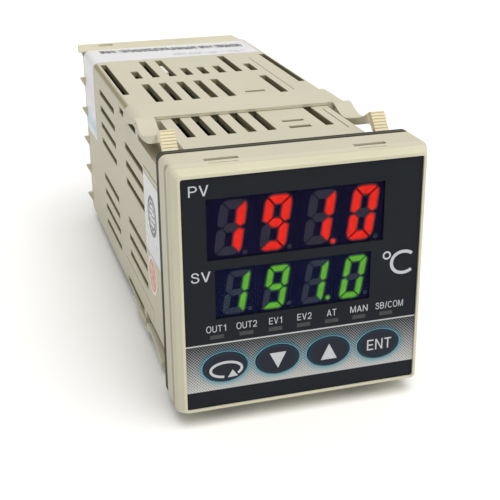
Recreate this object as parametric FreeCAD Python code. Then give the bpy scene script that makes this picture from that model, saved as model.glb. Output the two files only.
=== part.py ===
import FreeCAD, Part
import os
import math

os.makedirs("parts", exist_ok=True)
V = FreeCAD.Vector

# ---------------------------------------------------------------------------
# 1/16 DIN (48 x 48 mm) panel-mounted PID temperature controller.
# Frame: X to the right of a person facing the front, Y towards the rear,
# Z up, millimetres.  y = 0 is the rear face of the gasket, which lies on the
# front face of the panel; x = z = 0 is the axis of the panel cut-out.
# ---------------------------------------------------------------------------

# --- driving dimensions ----------------------------------------------------
FRONT = 24.0            # half of the 48 mm front
FRONT_R = 1.4           # corner radius of the front
CASE = 22.35            # half width of the case behind the panel (45 mm cut-out)
CASE_R = 1.6            # corner radius of the case
WALL = 1.3              # case wall
INNER = CASE - WALL
DEPTH = 100.0           # depth behind the panel
Y_FRONT = -11.0         # foremost plane of the rim
RIM_F = 22.80           # half width of the rim's front face
RIM_B = 23.6            # half width of the rim at the joint behind it
Y_RING = -8.2           # the case's front ring tapers in front of this plane
RIM_FILLET = 0.3        # rounding of the rim's front edge
Y_SEAM = -9.3           # joint between the case's front ring and the front frame
GASKET_T = 2.0
RING_IN = 21.95         # inside of the case's front ring
Y_FLOOR = -3.4          # front of the ring's floor
Y_TUBE_END = 91.0       # rear end of the case tube, where the terminal block starts
Y_LIP = 98.6            # start of the rear flange

OV_X = 22.3             # overlay half width
OV_Z0, OV_Z1 = -22.3, 22.1
OV_R = 0.45
Y_OV = -10.65           # front of the overlay film
OV_T = 0.25
Y_OVB = Y_OV + OV_T     # back of the overlay, front of the frame's plate
Y_PLATE_B = -8.9        # back of the frame's plate

WIN_PV = (-17.9, 15.1, 6.71, 18.07)     # x0, x1, z0, z1 of the process value window
WIN_SV = (-16.55, 12.85, -4.64, 4.86)   # set value window

KEY_X = (-15.0, -5.0, 5.0, 15.0)
KEY_Z = -14.4
KEY_A, KEY_B = 4.2, 2.95                # half axes of a key top
KEY_GAP = 0.1
KEY_TRAVEL = 0.35

LED_X = (-16.4, -10.9, -5.4, 0.0, 5.5, 10.9, 16.3)
LED_Z = -8.15

BOARD_X = (-14.0, 0.0, 14.0)            # main, output and power board
BOARD_T = 1.6
BOARD_Z = 19.0
BOARD_Y0, BOARD_Y1 = -3.0, 87.0

DB_F, DB_B = -5.2, -3.6                 # display board front and back
Y_MODULE = -10.3                        # face of the digit modules

ROWS = (15.9, 7.95, 0.0, -7.95, -15.9)  # terminal rows
COLS = (-14.5, 0.0, 14.5)               # terminal columns
CELL_HX, CELL_HZ = 6.5, 3.45
Y_CELL = 93.6                           # floor of a terminal cell

VENT_W = 1.75
VENT_X = (-14.5, -10.5, -6.5, -2.5, 1.5, 5.5, 9.5, 13.3)
SIDE_W = 1.5
SIDE_Z = (17.3, 13.3, 9.3, 5.3, -3.7, -7.7, -11.7, -15.7)

BR_GAP = 0.1            # bracket to case
BR_T = 0.6              # bracket band
BR_Y0, BR_Y1 = 26.3, 37.8
TAB_X0, TAB_X1 = 19.1, 21.9   # width of a thumb tab
Z_TAB = 25.95           # top of a thumb tab

REB_X, REB_Z, REB_Y = 17.7, 18.9, 25.9   # corner rebates that house the bracket arms and their travel


# --- helpers ---------------------------------------------------------------
def box(x0, x1, y0, y1, z0, z1):
    return Part.makeBox(x1 - x0, y1 - y0, z1 - z0, V(x0, y0, z0))


def cyl(x, y, z, r, h, d=(0, 1, 0)):
    return Part.makeCylinder(r, h, V(x, y, z), V(*d))


def rrect_wire(x0, x1, z0, z1, r, y):
    """Rounded rectangle in the XZ plane at height y."""
    c = math.sqrt(0.5) * r
    p = []
    p.append(Part.LineSegment(V(x0 + r, y, z0), V(x1 - r, y, z0)).toShape())
    p.append(Part.Arc(V(x1 - r, y, z0), V(x1 - r + c, y, z0 + r - c), V(x1, y, z0 + r)).toShape())
    p.append(Part.LineSegment(V(x1, y, z0 + r), V(x1, y, z1 - r)).toShape())
    p.append(Part.Arc(V(x1, y, z1 - r), V(x1 - r + c, y, z1 - r + c), V(x1 - r, y, z1)).toShape())
    p.append(Part.LineSegment(V(x1 - r, y, z1), V(x0 + r, y, z1)).toShape())
    p.append(Part.Arc(V(x0 + r, y, z1), V(x0 + r - c, y, z1 - r + c), V(x0, y, z1 - r)).toShape())
    p.append(Part.LineSegment(V(x0, y, z1 - r), V(x0, y, z0 + r)).toShape())
    p.append(Part.Arc(V(x0, y, z0 + r), V(x0 + r - c, y, z0 + r - c), V(x0 + r, y, z0)).toShape())
    return Part.Wire(p)


def rprism(x0, x1, y0, y1, z0, z1, r):
    return Part.Face(rrect_wire(x0, x1, z0, z1, r, y0)).extrude(V(0, y1 - y0, 0))


def sq(h, y0, y1, r):
    return rprism(-h, h, y0, y1, -h, h, r)


def sq_taper(h0, r0, y0, h1, r1, y1):
    """Square with round corners that widens from half width h0 at y0 to h1 at y1."""
    return Part.makeLoft([rrect_wire(-h0, h0, -h0, h0, r0, y0), rrect_wire(-h1, h1, -h1, h1, r1, y1)], True, True)


def oval(cx, cz, a, b, y0, y1):
    """Elliptical prism along Y with half axes a (X) and b (Z)."""
    if a >= b:
        e = Part.Ellipse(V(cx + a, y0, cz), V(cx, y0, cz + b), V(cx, y0, cz))
    else:
        e = Part.Ellipse(V(cx, y0, cz + b), V(cx - a, y0, cz), V(cx, y0, cz))
    f = Part.Face(Part.Wire([e.toShape()]))
    s = f.extrude(V(0, y1 - y0, 0))
    return s


def prism_yz(pts, x0, x1):
    w = Part.makePolygon([V(x0, y, z) for y, z in pts] + [V(x0, pts[0][0], pts[0][1])])
    return Part.Face(w).extrude(V(x1 - x0, 0, 0))


def prism_xz(pts, y0, y1):
    w = Part.makePolygon([V(x, y0, z) for x, z in pts] + [V(pts[0][0], y0, pts[0][1])])
    return Part.Face(w).extrude(V(0, y1 - y0, 0))


def prism_xy(pts, z0, z1):
    w = Part.makePolygon([V(x, y, z0) for x, y in pts] + [V(pts[0][0], pts[0][1], z0)])
    return Part.Face(w).extrude(V(0, 0, z1 - z0))


def fuse(items):
    s = items[0]
    if len(items) > 1:
        s = s.multiFuse(items[1:])
    return s.removeSplitter()


def cut(s, items):
    if items:
        s = s.cut(items)
    return s.removeSplitter()


def mirror_z(s):
    return s.mirror(V(0, 0, 0), V(0, 0, 1))


def mirror_x(s):
    return s.mirror(V(0, 0, 0), V(1, 0, 0))


NODES = []


def solids_of(s):
    return s.Solids if s.Solids else [s]


def export(name, shape):
    sol = []
    for q in (shape if isinstance(shape, list) else [shape]):
        sol += solids_of(q)
    ok = all(q.isValid() and q.isClosed() for q in sol)
    out = sol[0] if len(sol) == 1 else Part.makeCompound(sol)
    out.exportStep("parts/%s.step" % name)
    NODES.append(name)
    bb = out.BoundBox
    print("%-24s solids %3d  vol %9.1f  ok %s  x %.2f..%.2f y %.2f..%.2f z %.2f..%.2f" % (
        name, len(sol), sum(q.Volume for q in sol), ok, bb.XMin, bb.XMax, bb.YMin, bb.YMax, bb.ZMin, bb.ZMax))


# ===========================================================================
# Case
# ===========================================================================
# One moulding: the 44.7 mm square tube behind the panel and the 48 mm ring in
# front of it, whose floor bears on the gasket.
tube = sq(CASE, -GASKET_T, Y_TUBE_END, CASE_R)
ring = fuse([sq_taper(RIM_B, 1.1, Y_SEAM + 0.06, FRONT, FRONT_R, Y_RING), sq(FRONT, Y_RING, -GASKET_T, FRONT_R)])
case = fuse([tube, ring])
bore = sq(INNER, Y_FLOOR - 1.0, Y_TUBE_END + 1.0, 0.6)
ring_bore = sq(RING_IN, Y_SEAM - 1.0, Y_FLOOR, 0.8)
case = cut(case, [bore, ring_bore])

# thickened inner corners behind the front, so that the corner rebates keep a wall
corner_fill = []
for sx in (-1, 1):
    for sz in (-1, 1):
        xs = sorted((sx * (REB_X - WALL), sx * (INNER + 0.4)))
        zs = sorted((sz * (REB_Z - WALL), sz * (INNER + 0.4)))
        corner_fill.append(box(xs[0], xs[1], 0.0, REB_Y + WALL, zs[0], zs[1]))
case = fuse([case] + corner_fill)

cuts = []
# corner rebates, open to the side and to the top or bottom
for sx in (-1, 1):
    for sz in (-1, 1):
        xs = sorted((sx * REB_X, sx * (CASE + 2)))
        zs = sorted((sz * REB_Z, sz * (CASE + 2)))
        cuts.append(box(xs[0], xs[1], 0.0, REB_Y, zs[0], zs[1]))

# vents through the top and the bottom
for sz in (-1, 1):
    z0, z1 = sorted((sz * (INNER - 1.0), sz * (CASE + 1.0)))
    for i, x in enumerate(VENT_X):
        h = VENT_W / 2
        if i in (0, 1, 2, 3, 4, 7):
            cuts.append(box(x - h, x + h, 12.4, 27.0, z0, z1))       # front row
            cuts.append(box(x - h, x + h, 39.0, 57.2, z0, z1))       # middle row
        if i in (1, 2, 6):
            cuts.append(box(x - h, x + h, 63.0, 81.0, z0, z1))       # rear row, long
        else:
            cuts.append(box(x - h, x + h, 63.0, 70.6, z0, z1))       # rear row, short
    # slots near the long edges
    zz = sorted((sz * (INNER - 1.0), sz * (CASE + 1.0)))
    for sx in (-1, 1):
        xs = sorted((sx * 19.5, sx * 20.95))
        cuts.append(box(xs[0], xs[1], 48.8, 80.2, zz[0], zz[1]))
    # shallow cross pockets on the right half
    zp = sorted((sz * (CASE - 0.6), sz * (CASE + 1.0)))
    cuts.append(box(5.1, 9.6, 17.0, 18.3, zp[0], zp[1]))
    cuts.append(box(5.1, 9.6, 12.4, 14.0, zp[0], zp[1]))
    cuts.append(box(5.1, 9.6, 42.6, 44.0, zp[0], zp[1]))
    # fine line beside the right rebate
    zl = sorted((sz * (CASE - 0.2), sz * (CASE + 1.0)))
    cuts.append(box(15.95, 16.2, 9.6, 24.3, zl[0], zl[1]))
    # fine line between the vents and the right groove
    cuts.append(box(15.85, 16.05, 42.0, 77.0, zl[0], zl[1]))

# vents through the sides
for sx in (-1, 1):
    x0, x1 = sorted((sx * (INNER - 1.0), sx * (CASE + 1.0)))
    for z in SIDE_Z:
        cuts.append(box(x0, x1, 54.2, 74.4, z - SIDE_W / 2, z + SIDE_W / 2))
        if abs(z) < 14 and z > -14:
            cuts.append(box(x0, x1, 22.3, 42.0, z - SIDE_W / 2, z + SIDE_W / 2))
    # slots beside the long edges and the step lines below and above them
    xb = sorted((sx * (INNER - 1.0), sx * (CASE + 1.0)))
    xl = sorted((sx * (CASE - 0.18), sx * (CASE + 1.0)))
    for sz in (-1, 1):
        zb = sorted((sz * 19.15, sz * 20.55))
        cuts.append(box(xb[0], xb[1], 28.4, 46.5, zb[0], zb[1]))
        zs = sorted((sz * 14.85, sz * 15.1))
        cuts.append(box(xl[0], xl[1], 17.5 if sz < 0 else 8.0, 48.0 if sz < 0 else 21.5, zs[0], zs[1]))
    zs = (-18.3, -14.85)
    cuts.append(box(xl[0], xl[1], 17.5, 17.75, zs[0], zs[1]))

# pry pockets and the fine lip lines in the front ring, top and bottom
for sz in (-1, 1):
    for x in (-14.1, 13.3):
        z0, z1 = sorted((sz * (FRONT - 0.8), sz * (FRONT + 1)))
        cuts.append(box(x - 3.05, x + 3.05, -7.75, -6.45, z0, z1))
        z0, z1 = sorted((sz * (FRONT - 0.25), sz * (FRONT + 1)))
        cuts.append(box(x - 2.6, x + 2.7, -8.75, -8.5, z0, z1))
case = cut(case, cuts)

# guide ribs inside the rear of the tube, one pair for each board edge
ribs = []
for bx in BOARD_X:
    for sz in (-1, 1):
        for sx in (-1, 1):
            xs = sorted((bx + sx * (BOARD_T / 2 + 0.15), bx + sx * (BOARD_T / 2 + 1.0)))
            zs = sorted((sz * (BOARD_Z - 0.7), sz * (INNER + 0.4)))
            ribs.append(box(xs[0], xs[1], 82.0, 85.2, zs[0], zs[1]))
case = fuse([case] + ribs)
export("case_housing", case)

# rubber gasket between the ring and the panel
gasket = sq(FRONT, -GASKET_T, 0.0, FRONT_R + 0.1).cut(sq(CASE + 0.05, -GASKET_T - 1, 1.0, CASE_R))
export("panel_gasket", gasket)

# ===========================================================================
# Terminal block at the rear
# ===========================================================================
blk = fuse([sq(CASE, Y_TUBE_END, Y_LIP, CASE_R), sq(INNER - 0.1, 85.5, Y_TUBE_END, 0.6),
            sq(CASE, Y_LIP, DEPTH, CASE_R)])
lip_pts = [(98.0, CASE - 0.3), (98.0, CASE), (98.9, CASE + 1.0), (DEPTH, CASE + 1.35), (DEPTH, CASE - 0.3)]
lip = prism_yz(lip_pts, -CASE - 1.15, 20.9)
# the right end of the lip runs down to the corner of the block
lip_end = prism_xz([(17.9, CASE + 2.0), (17.9, CASE + 1.35), (20.5, CASE), (20.5, CASE - 0.3), (23.0, CASE - 0.3), (23.0, CASE + 2.0)], 97.0, 101.0)
lip = lip.cut(lip_end)
low_lip = mirror_z(prism_yz(lip_pts, -20.9, 20.9).cut([lip_end, mirror_x(lip_end)]))
lip = lip.fuse(prism_yz([(98.9, CASE - 1.9), (98.9, CASE), (DEPTH, CASE), (DEPTH, CASE - 1.9)], -CASE - 0.0, -CASE + 1.8))
teeth = []
for zt, ln in [(23.7, 3.1)] + [(r - 0.7, 2.6) for r in ROWS]:
    teeth.append(prism_xz([(-CASE + 0.4, zt if zt < 23 else CASE - 1.0), (-CASE + 0.0, zt if zt < 23 else CASE),
                           (-CASE - 1.15, zt), (-CASE - 1.15, zt - 0.35), (-CASE, zt - ln), (-CASE + 0.4, zt - ln)],
                          98.7, DEPTH) if zt < 23 else
                 prism_xz([(-CASE + 0.8, 23.0), (-CASE - 1.15, 23.0), (-CASE - 1.15, 23.3), (-CASE, 20.6), (-CASE + 0.8, 20.6)][1:],
                          98.7, DEPTH))
teeth_r = [mirror_x(t) for t in teeth[1:]]
blk = fuse([blk, lip, low_lip] + teeth + teeth_r)

bcuts = [box(-18.2, -14.6, 98.75, 99.55, 23.0, 25.0)]     # small pocket in the upper lip
# hollow of the spigot behind the boards, and slots for the board edges
for bx in BOARD_X:
    bcuts.append(box(bx - 1.0, bx + 1.0, 85.0, 88.0, -BOARD_Z - 0.3, BOARD_Z + 0.3))
for cx, bx in zip(COLS, BOARD_X):
    for z in ROWS:
        # cell that takes the lug or the wire end
        bcuts.append(box(cx - CELL_HX, cx + CELL_HX, Y_CELL, DEPTH + 1, z - CELL_HZ, z + CELL_HZ))
        # passage of the contact blade
        bcuts.append(box(bx + 0.75, cx + 3.65, 85.0, Y_CELL + 0.1, z - 1.6, z + 1.6))
        # hole under the screw
        bcuts.append(cyl(cx, 90.9, z, 1.65, Y_CELL - 90.9 + 0.1))
# weight-saving pockets in the spigot face between the boards
blk = cut(blk, bcuts)
export("terminal_block", blk)

# contacts: screw plate and a blade that bears on the board's edge pad
contacts, screws, clamps = [], [], []
for cx, bx in zip(COLS, BOARD_X):
    for z in ROWS:
        plate = box(cx - 4.6, cx + 4.6, Y_CELL, Y_CELL + 0.8, z - 2.9, z + 2.9)
        leg = box(cx + 3.05, cx + 3.55, 88.9, Y_CELL + 0.8, z - 1.4, z + 1.4)
        jog = box(bx + 0.85, cx + 3.55, 88.9, 89.4, z - 1.4, z + 1.4)
        tip = box(bx + 0.85, bx + 1.35, 80.5, 89.4, z - 1.4, z + 1.4)
        c = fuse([plate, leg, jog, tip]).cut(cyl(cx, Y_CELL - 1, z, 1.6, 3))
        contacts.append(c)
        # square clamp plate with turned-up ends
        cl = box(cx - 3.1, cx + 3.1, Y_CELL + 0.8, Y_CELL + 1.6, z - 3.1, z + 3.1)
        cl = cl.fuse(box(cx - 3.1, cx - 2.5, Y_CELL + 0.8, Y_CELL + 2.6, z - 3.1, z + 3.1))
        cl = cl.fuse(box(cx + 2.5, cx + 3.1, Y_CELL + 0.8, Y_CELL + 2.6, z - 3.1, z + 3.1))
        clamps.append(cl.cut(cyl(cx, Y_CELL, z, 1.6, 3)).removeSplitter())
        # M3 pan-head screw with a cross recess
        head = cyl(cx, Y_CELL + 1.6, z, 2.45, 1.7)
        top = Part.makeCone(2.45, 1.7, 0.5, V(cx, Y_CELL + 3.3, z), V(0, 1, 0))
        shank = cyl(cx, 91.1, z, 1.5, Y_CELL + 1.6 - 91.1)
        s = fuse([shank, head, top])
        s = s.cut([box(cx - 0.3, cx + 0.3, Y_CELL + 2.3, Y_CELL + 5, z - 1.5, z + 1.5),
                   box(cx - 1.5, cx + 1.5, Y_CELL + 2.3, Y_CELL + 5, z - 0.3, z + 0.3)])
        screws.append(s.removeSplitter())
export("terminal_contacts", contacts)
export("terminal_clamps", clamps)
export("terminal_screws", screws)

# ===========================================================================
# Labels on the case
# ===========================================================================
LBL_T = 0.1
wrap = rprism(-CASE - LBL_T, CASE + LBL_T, 82.8, 97.9, -CASE - LBL_T, CASE + LBL_T, CASE_R + LBL_T)
wrap = wrap.cut(sq(CASE, 80.0, 99.0, CASE_R))
wrap = wrap.common(box(-CASE - 1, 20.4, 80, 99, 2.4, CASE + 1))
export("rating_label", wrap)

lab = Part.Face(Part.Wire([Part.makePolygon([V(-CASE - LBL_T, 6.6, -2.3), V(-CASE - LBL_T, 21.4, -2.3),
                                              V(-CASE - LBL_T, 21.4, 13.7), V(-CASE - LBL_T, 6.6, 13.7),
                                              V(-CASE - LBL_T, 6.6, -2.3)])])).extrude(V(LBL_T, 0, 0))
export("side_label", lab)
seal = cyl(-CASE - LBL_T, 16.4, -6.7, 4.1, LBL_T, (1, 0, 0))
export("inspection_seal", seal)

# ===========================================================================
# Front frame: the moulding that carries the overlay and all the boards
# ===========================================================================
rim = sq_taper(RIM_F, 0.85, Y_FRONT, RIM_B, 1.15, Y_SEAM)
edges = []
for e in rim.Edges:
    bb = e.BoundBox
    if abs(bb.YMin - Y_FRONT) < 1e-6 and abs(bb.YMax - Y_FRONT) < 1e-6:
        edges.append(e)
rim = rim.makeFillet(RIM_FILLET, edges)
body = sq(RING_IN - 0.1, Y_SEAM - 0.5, -4.6, 0.7)
frame = fuse([rim, body])
fcuts = [
    rprism(-OV_X - 0.02, OV_X + 0.02, Y_FRONT - 1, Y_OVB, OV_Z0 - 0.02, OV_Z1 + 0.02, OV_R),
    sq(20.65, Y_PLATE_B, 0.0, 0.6),
    box(-17.82, 15.02, Y_FRONT - 1, 0, 6.74, 18.06),
    box(-16.67, 12.97, Y_FRONT - 1, 0, -4.60, 4.82),
]
for x in KEY_X:
    fcuts.append(oval(x, KEY_Z, KEY_A + KEY_GAP, KEY_B + KEY_GAP, Y_FRONT - 1, 0))
for x in LED_X:
    fcuts.append(box(x - 1.33, x + 1.33, Y_FRONT - 1, 0, LED_Z - 0.43, LED_Z + 0.43))
frame = cut(frame, fcuts)
arms = []
for bx in BOARD_X:
    for sz in (-1, 1):
        zs = sorted((sz * 18.3, sz * 20.9))
        a = box(bx - 1.9, bx + 1.9, Y_PLATE_B - 0.2, -4.7, zs[0], zs[1])
        zs2 = sorted((sz * 18.3, sz * 20.4))
        b = box(bx - 1.9, bx + 1.9, -4.7, 7.0, zs2[0], zs2[1])
        a = a.fuse(b)
        zg = sorted((sz * 18.0, sz * (BOARD_Z + 0.1)))
        a = a.cut(box(bx - BOARD_T / 2 - 0.05, bx + BOARD_T / 2 + 0.05, BOARD_Y0 - 0.1, 8.0, zg[0], zg[1]))
        arms.append(a)
frame = fuse([frame] + arms)
export("front_frame", frame)

# square rubber seal between the front frame and the floor of the case ring
export("frame_seal", sq(RING_IN - 0.15, -4.58, Y_FLOOR - 0.02, 0.8).cut(sq(20.95, -6, 0, 0.6)))

# overlay film with windows, key holes and indicator slots
ov = rprism(-OV_X, OV_X, Y_OV, Y_OVB, OV_Z0, OV_Z1, OV_R)
ocuts = [box(WIN_PV[0], WIN_PV[1], -12, 0, WIN_PV[2], WIN_PV[3]),
         box(WIN_SV[0], WIN_SV[1], -12, 0, WIN_SV[2], WIN_SV[3])]
for x in KEY_X:
    ocuts.append(oval(x, KEY_Z, KEY_A + KEY_GAP, KEY_B + KEY_GAP, -12, 0))
for x in LED_X:
    ocuts.append(box(x - 1.3, x + 1.3, -12, 0, LED_Z - 0.4, LED_Z + 0.4))
export("front_overlay", cut(ov, ocuts))
export("display_windows", [box(WIN_PV[0], WIN_PV[1], Y_OV + 0.02, Y_OVB, WIN_PV[2], WIN_PV[3]),
                           box(WIN_SV[0], WIN_SV[1], Y_OV + 0.02, Y_OVB, WIN_SV[2], WIN_SV[3])])
export("indicator_light_pipes", [fuse([box(x - 1.3, x + 1.3, Y_OV + 0.02, -7.0, LED_Z - 0.4, LED_Z + 0.4),
                                       box(x - 1.6, x + 1.6, -8.8, -6.45, LED_Z - 0.8, LED_Z + 0.8)]) for x in LED_X])

# seven-segment modules
PV_PITCH, SV_PITCH = 8.2, 7.4
pv = []
for i in range(4):
    x0 = -17.8 + i * PV_PITCH
    pv.append(box(x0 + 0.04, x0 + PV_PITCH - 0.04, Y_MODULE, DB_F, 6.8, 18.0))
export("pv_digit_modules", pv)
sv = []
for i in range(4):
    x0 = -16.65 + i * SV_PITCH
    sv.append(box(x0 + 0.04, x0 + SV_PITCH - 0.04, Y_MODULE, DB_F, -4.54, 4.76))
export("sv_digit_modules", sv)
export("indicator_leds", [box(x - 1.0, x + 1.0, -6.3, DB_F, LED_Z - 0.62, LED_Z + 0.62) for x in LED_X])

# display board, notched for the frame's board guides
db = rprism(-20.5, 20.5, DB_F, DB_B, -20.5, 20.5, 0.5)
dcuts = []
for bx in BOARD_X:
    for sz in (-1, 1):
        zs = sorted((sz * 18.15, sz * 22))
        dcuts.append(box(bx - 2.05, bx + 2.05, -6, -3, zs[0], zs[1]))
export("display_board", cut(db, dcuts))

# ===========================================================================
# Keys: key top, switch plunger (both move) and the switch body
# ===========================================================================
KEYS = ("mode_key", "down_key", "up_key", "enter_key")
switches = []
for name, x in zip(KEYS, KEY_X):
    head = oval(x, KEY_Z, KEY_A, KEY_B, -10.9, -8.3)
    ed = [e for e in head.Edges if abs(e.BoundBox.YMax + 10.9) < 1e-4]
    try:
        head = head.makeFillet(0.22, ed)
    except Exception:
        pass
    flange = oval(x, KEY_Z, KEY_A + 0.7, KEY_B + 0.7, -8.85, -8.2)
    export(name, fuse([head, flange]))
    export(name.replace("_key", "_plunger"), cyl(x, -8.2, KEY_Z, 1.5, 2.0))
    sb = box(x - 3.0, x + 3.0, -7.3, DB_F, KEY_Z - 3.0, KEY_Z + 3.0)
    sb = sb.cut(cyl(x, -7.4, KEY_Z, 1.56, 1.65))
    switches.append(sb)
export("tact_switches", switches)

# ===========================================================================
# Boards and what they carry
# ===========================================================================
def board(bx):
    return box(bx - BOARD_T / 2, bx + BOARD_T / 2, BOARD_Y0, BOARD_Y1, -BOARD_Z, BOARD_Z)


export("main_board", board(BOARD_X[0]))
export("output_board", board(BOARD_X[1]))
export("power_board", board(BOARD_X[2]))

# pin headers that join the three boards to the display board
hdr = []
for bx in BOARD_X:
    s = 1 if bx <= 0 else -1
    xs = sorted((bx + s * BOARD_T / 2, bx + s * (BOARD_T / 2 + 2.5)))
    hdr.append(box(xs[0], xs[1], DB_B, -1.1, -11.0, 11.0))
export("board_headers", hdr)

MX = BOARD_X[0] + BOARD_T / 2       # component face of the main board
OXL = BOARD_X[1] - BOARD_T / 2      # left face of the output board
OXR = BOARD_X[1] + BOARD_T / 2      # right face of the output board
PX = BOARD_X[2] - BOARD_T / 2       # component face of the power board

mcu = box(MX + 0.1, MX + 1.7, 22.0, 36.0, -7.0, 7.0)
export("microcontroller", mcu)
ics = [box(MX + 0.1, MX + 1.9, 44.0, 54.0, 4.0, 9.5), box(MX + 0.1, MX + 1.9, 44.0, 54.0, -6.0, -0.5),
       box(MX + 0.1, MX + 1.9, 60.0, 66.0, 2.0, 6.0), box(OXL - 1.9, OXL - 0.1, 20.0, 26.0, -8.0, -3.0),
       box(OXL - 1.9, OXL - 0.1, 30.0, 40.0, -12.0, -6.5)]
export("signal_chips", ics)
export("crystal", rprism(MX + 0.1, MX + 3.6, 14.0, 18.2, -2.2, 2.2, 1.0))
smallcaps = [cyl(MX, 14.0, 12.0, 2.5, 6.5, (1, 0, 0)), cyl(MX, 28.0, -12.6, 2.9, 7.0, (1, 0, 0)),
             cyl(MX, 36.0, -12.6, 2.9, 7.0, (1, 0, 0)), cyl(OXL, 36.0, 10.0, 3.15, 6.5, (-1, 0, 0)),
             cyl(PX, 17.0, 12.0, 4.0, 9.0, (-1, 0, 0))]
export("small_capacitors", smallcaps)
export("bulk_capacitor", cyl(PX - 5.3, 7.0, -11.0, 5.0, 18.0))
# switching transformer: ferrite core pair and the wound former between the legs
core = fuse([box(PX - 11.0, PX - 0.6, 30.0, 33.6, -6.5, 10.5), box(PX - 11.0, PX - 0.6, 43.0, 46.6, -6.5, 10.5),
             box(PX - 11.0, PX - 0.6, 33.6, 43.0, 7.3, 10.5), box(PX - 11.0, PX - 0.6, 33.6, 43.0, -6.5, -3.3),
             box(PX - 8.0, PX - 3.6, 33.6, 43.0, 0.0, 4.0)])
export("transformer_core", core)
wnd = rprism(PX - 10.4, PX - 1.2, 33.8, 42.8, -2.9, 6.9, 1.8).cut(box(PX - 8.05, PX - 3.55, 30, 46, -0.05, 4.05))
export("transformer_winding", wnd)
relays = [box(OXL - 8.5, OXL, 47.0, 66.0, 1.0, 16.0), box(OXL - 8.5, OXL, 47.0, 66.0, -16.0, -1.0)]
export("output_relays", relays)
export("sensor_connector", fuse([box(OXL - 7.4, OXL, 75.6, 81.8, 15.0, 18.6), box(OXL - 7.4, OXL - 4.4, 75.6, 81.8, 18.6, 20.6)]))
export("power_fuse", cyl(PX - 2.9, 49.0, -12.0, 2.5, 18.0))
export("surge_varistor", cyl(PX - 4.2, 57.0, 12.0, 4.6, 3.6, (-1, 0, 0)).fuse(box(PX - 4.4, PX, 56.2, 57.8, 11.0, 13.0)).removeSplitter())
export("power_transistor", box(PX - 4.6, PX, 28.0, 32.4, -18.0, -8.0))
export("bridge_rectifier", box(PX - 3.0, PX, 48.0, 56.0, 0.0, 6.5))
export("optocouplers", [box(OXR, OXR + 3.5, 50.0, 56.6, 3.0, 9.4), box(OXR, OXR + 3.5, 50.0, 56.6, -8.0, -1.6)])
export("common_mode_choke", rprism(PX - 9.5, PX, 68.6, 79.6, -14.0, -4.0, 1.5))

# ===========================================================================
# Mounting brackets: an upper and a lower clip, each with two sprung arms
# ===========================================================================
zi = CASE + BR_GAP
zo = zi + BR_T
outer = rprism(-zo, zo, BR_Y0, BR_Y1, -zo, zo, CASE_R + BR_GAP + BR_T)
inner = rprism(-zi, zi, BR_Y0 - 1, BR_Y1 + 1, -zi, zi, CASE_R + BR_GAP)
band = outer.cut(inner).common(box(-30, 30, BR_Y0, BR_Y1, 20.25, 30))
# the lower edge of the side lugs rises towards the arms
lug = [(33.2, 19.0), (33.2, 20.25), (25.4, 22.1), (24.0, 22.1), (24.0, 19.0)]
band = band.cut([prism_yz(lug, -30.0, -zi), prism_yz(lug, zi, 30.0)])
# arm profile in the YZ plane: root on the band, sagging leaf, ribbed thumb tab and foot
arm_pts = [(26.5, zo), (25.4, zo), (24.8, 22.93), (24.0, 22.64), (23.1, 22.26), (22.1, 21.92), (21.1, 21.68), (20.0, 21.58),
           (18.6, 21.66), (17.2, 21.92), (15.4, 22.38), (13.6, 22.9), (11.4, 23.58), (9.7, 24.18), (8.4, 24.84),
           (7.4, 25.6), (6.4, Z_TAB),
           (3.95, 23.0), (3.1, 22.3), (3.1, 20.9), (4.3, 20.9), (4.7, 22.5), (5.6, 23.3), (6.6, 23.72),
           (8.3, 23.15), (10.1, 22.55), (11.9, 21.95), (14.4, 21.35), (17.2, 20.93), (19.4, 20.72), (21.6, 20.68),
           (23.4, 20.78), (24.55, 21.1), (24.55, zi), (26.5, zi)]
arm_r = prism_yz(arm_pts, 18.9, zo - 0.35)
# the thumb tab is narrower than the leaf
arm_r = arm_r.cut([prism_yz([(2.0, 20.0), (2.0, 27.0), (10.6, 27.0), (10.0, 24.4), (9.3, 22.2), (9.1, 20.0)], TAB_X1, 24.0),
                   prism_yz([(2.0, 20.0), (2.0, 27.0), (7.6, 27.0), (7.75, 25.3), (6.2, 23.9), (4.9, 22.9), (4.4, 20.0)], 18.0, TAB_X0)])
# ribs across the tab's sloping face
grooves = []
n = 6
p0, p1 = (3.95, 23.0), (6.4, Z_TAB)
dy, dz = p1[0] - p0[0], p1[1] - p0[1]
L = math.hypot(dy, dz)
uy, uz = dy / L, dz / L
ny, nz = -uz, uy
for i in range(n):
    t = (i + 0.25) / n * L
    w = 0.5 * L / n
    a = (p0[0] + uy * t, p0[1] + uz * t)
    b = (p0[0] + uy * (t + w), p0[1] + uz * (t + w))
    m = (p0[0] + uy * (t + w / 2) - ny * 0.2, p0[1] + uz * (t + w / 2) - nz * 0.2)
    grooves.append(prism_yz([(a[0] + ny * 0.05, a[1] + nz * 0.05), (b[0] + ny * 0.05, b[1] + nz * 0.05), m], 18.0, 24.0))
arm_r = arm_r.cut(grooves)
arm_l = mirror_x(arm_r)
upper = fuse([band, arm_r, arm_l])
export("upper_bracket", upper)
export("lower_bracket", mirror_z(upper))

print(len(NODES), "nodes")
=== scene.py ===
import math
import random

import bmesh
import bpy
from mathutils import Matrix, Vector
from mathutils.geometry import tessellate_polygon


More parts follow.
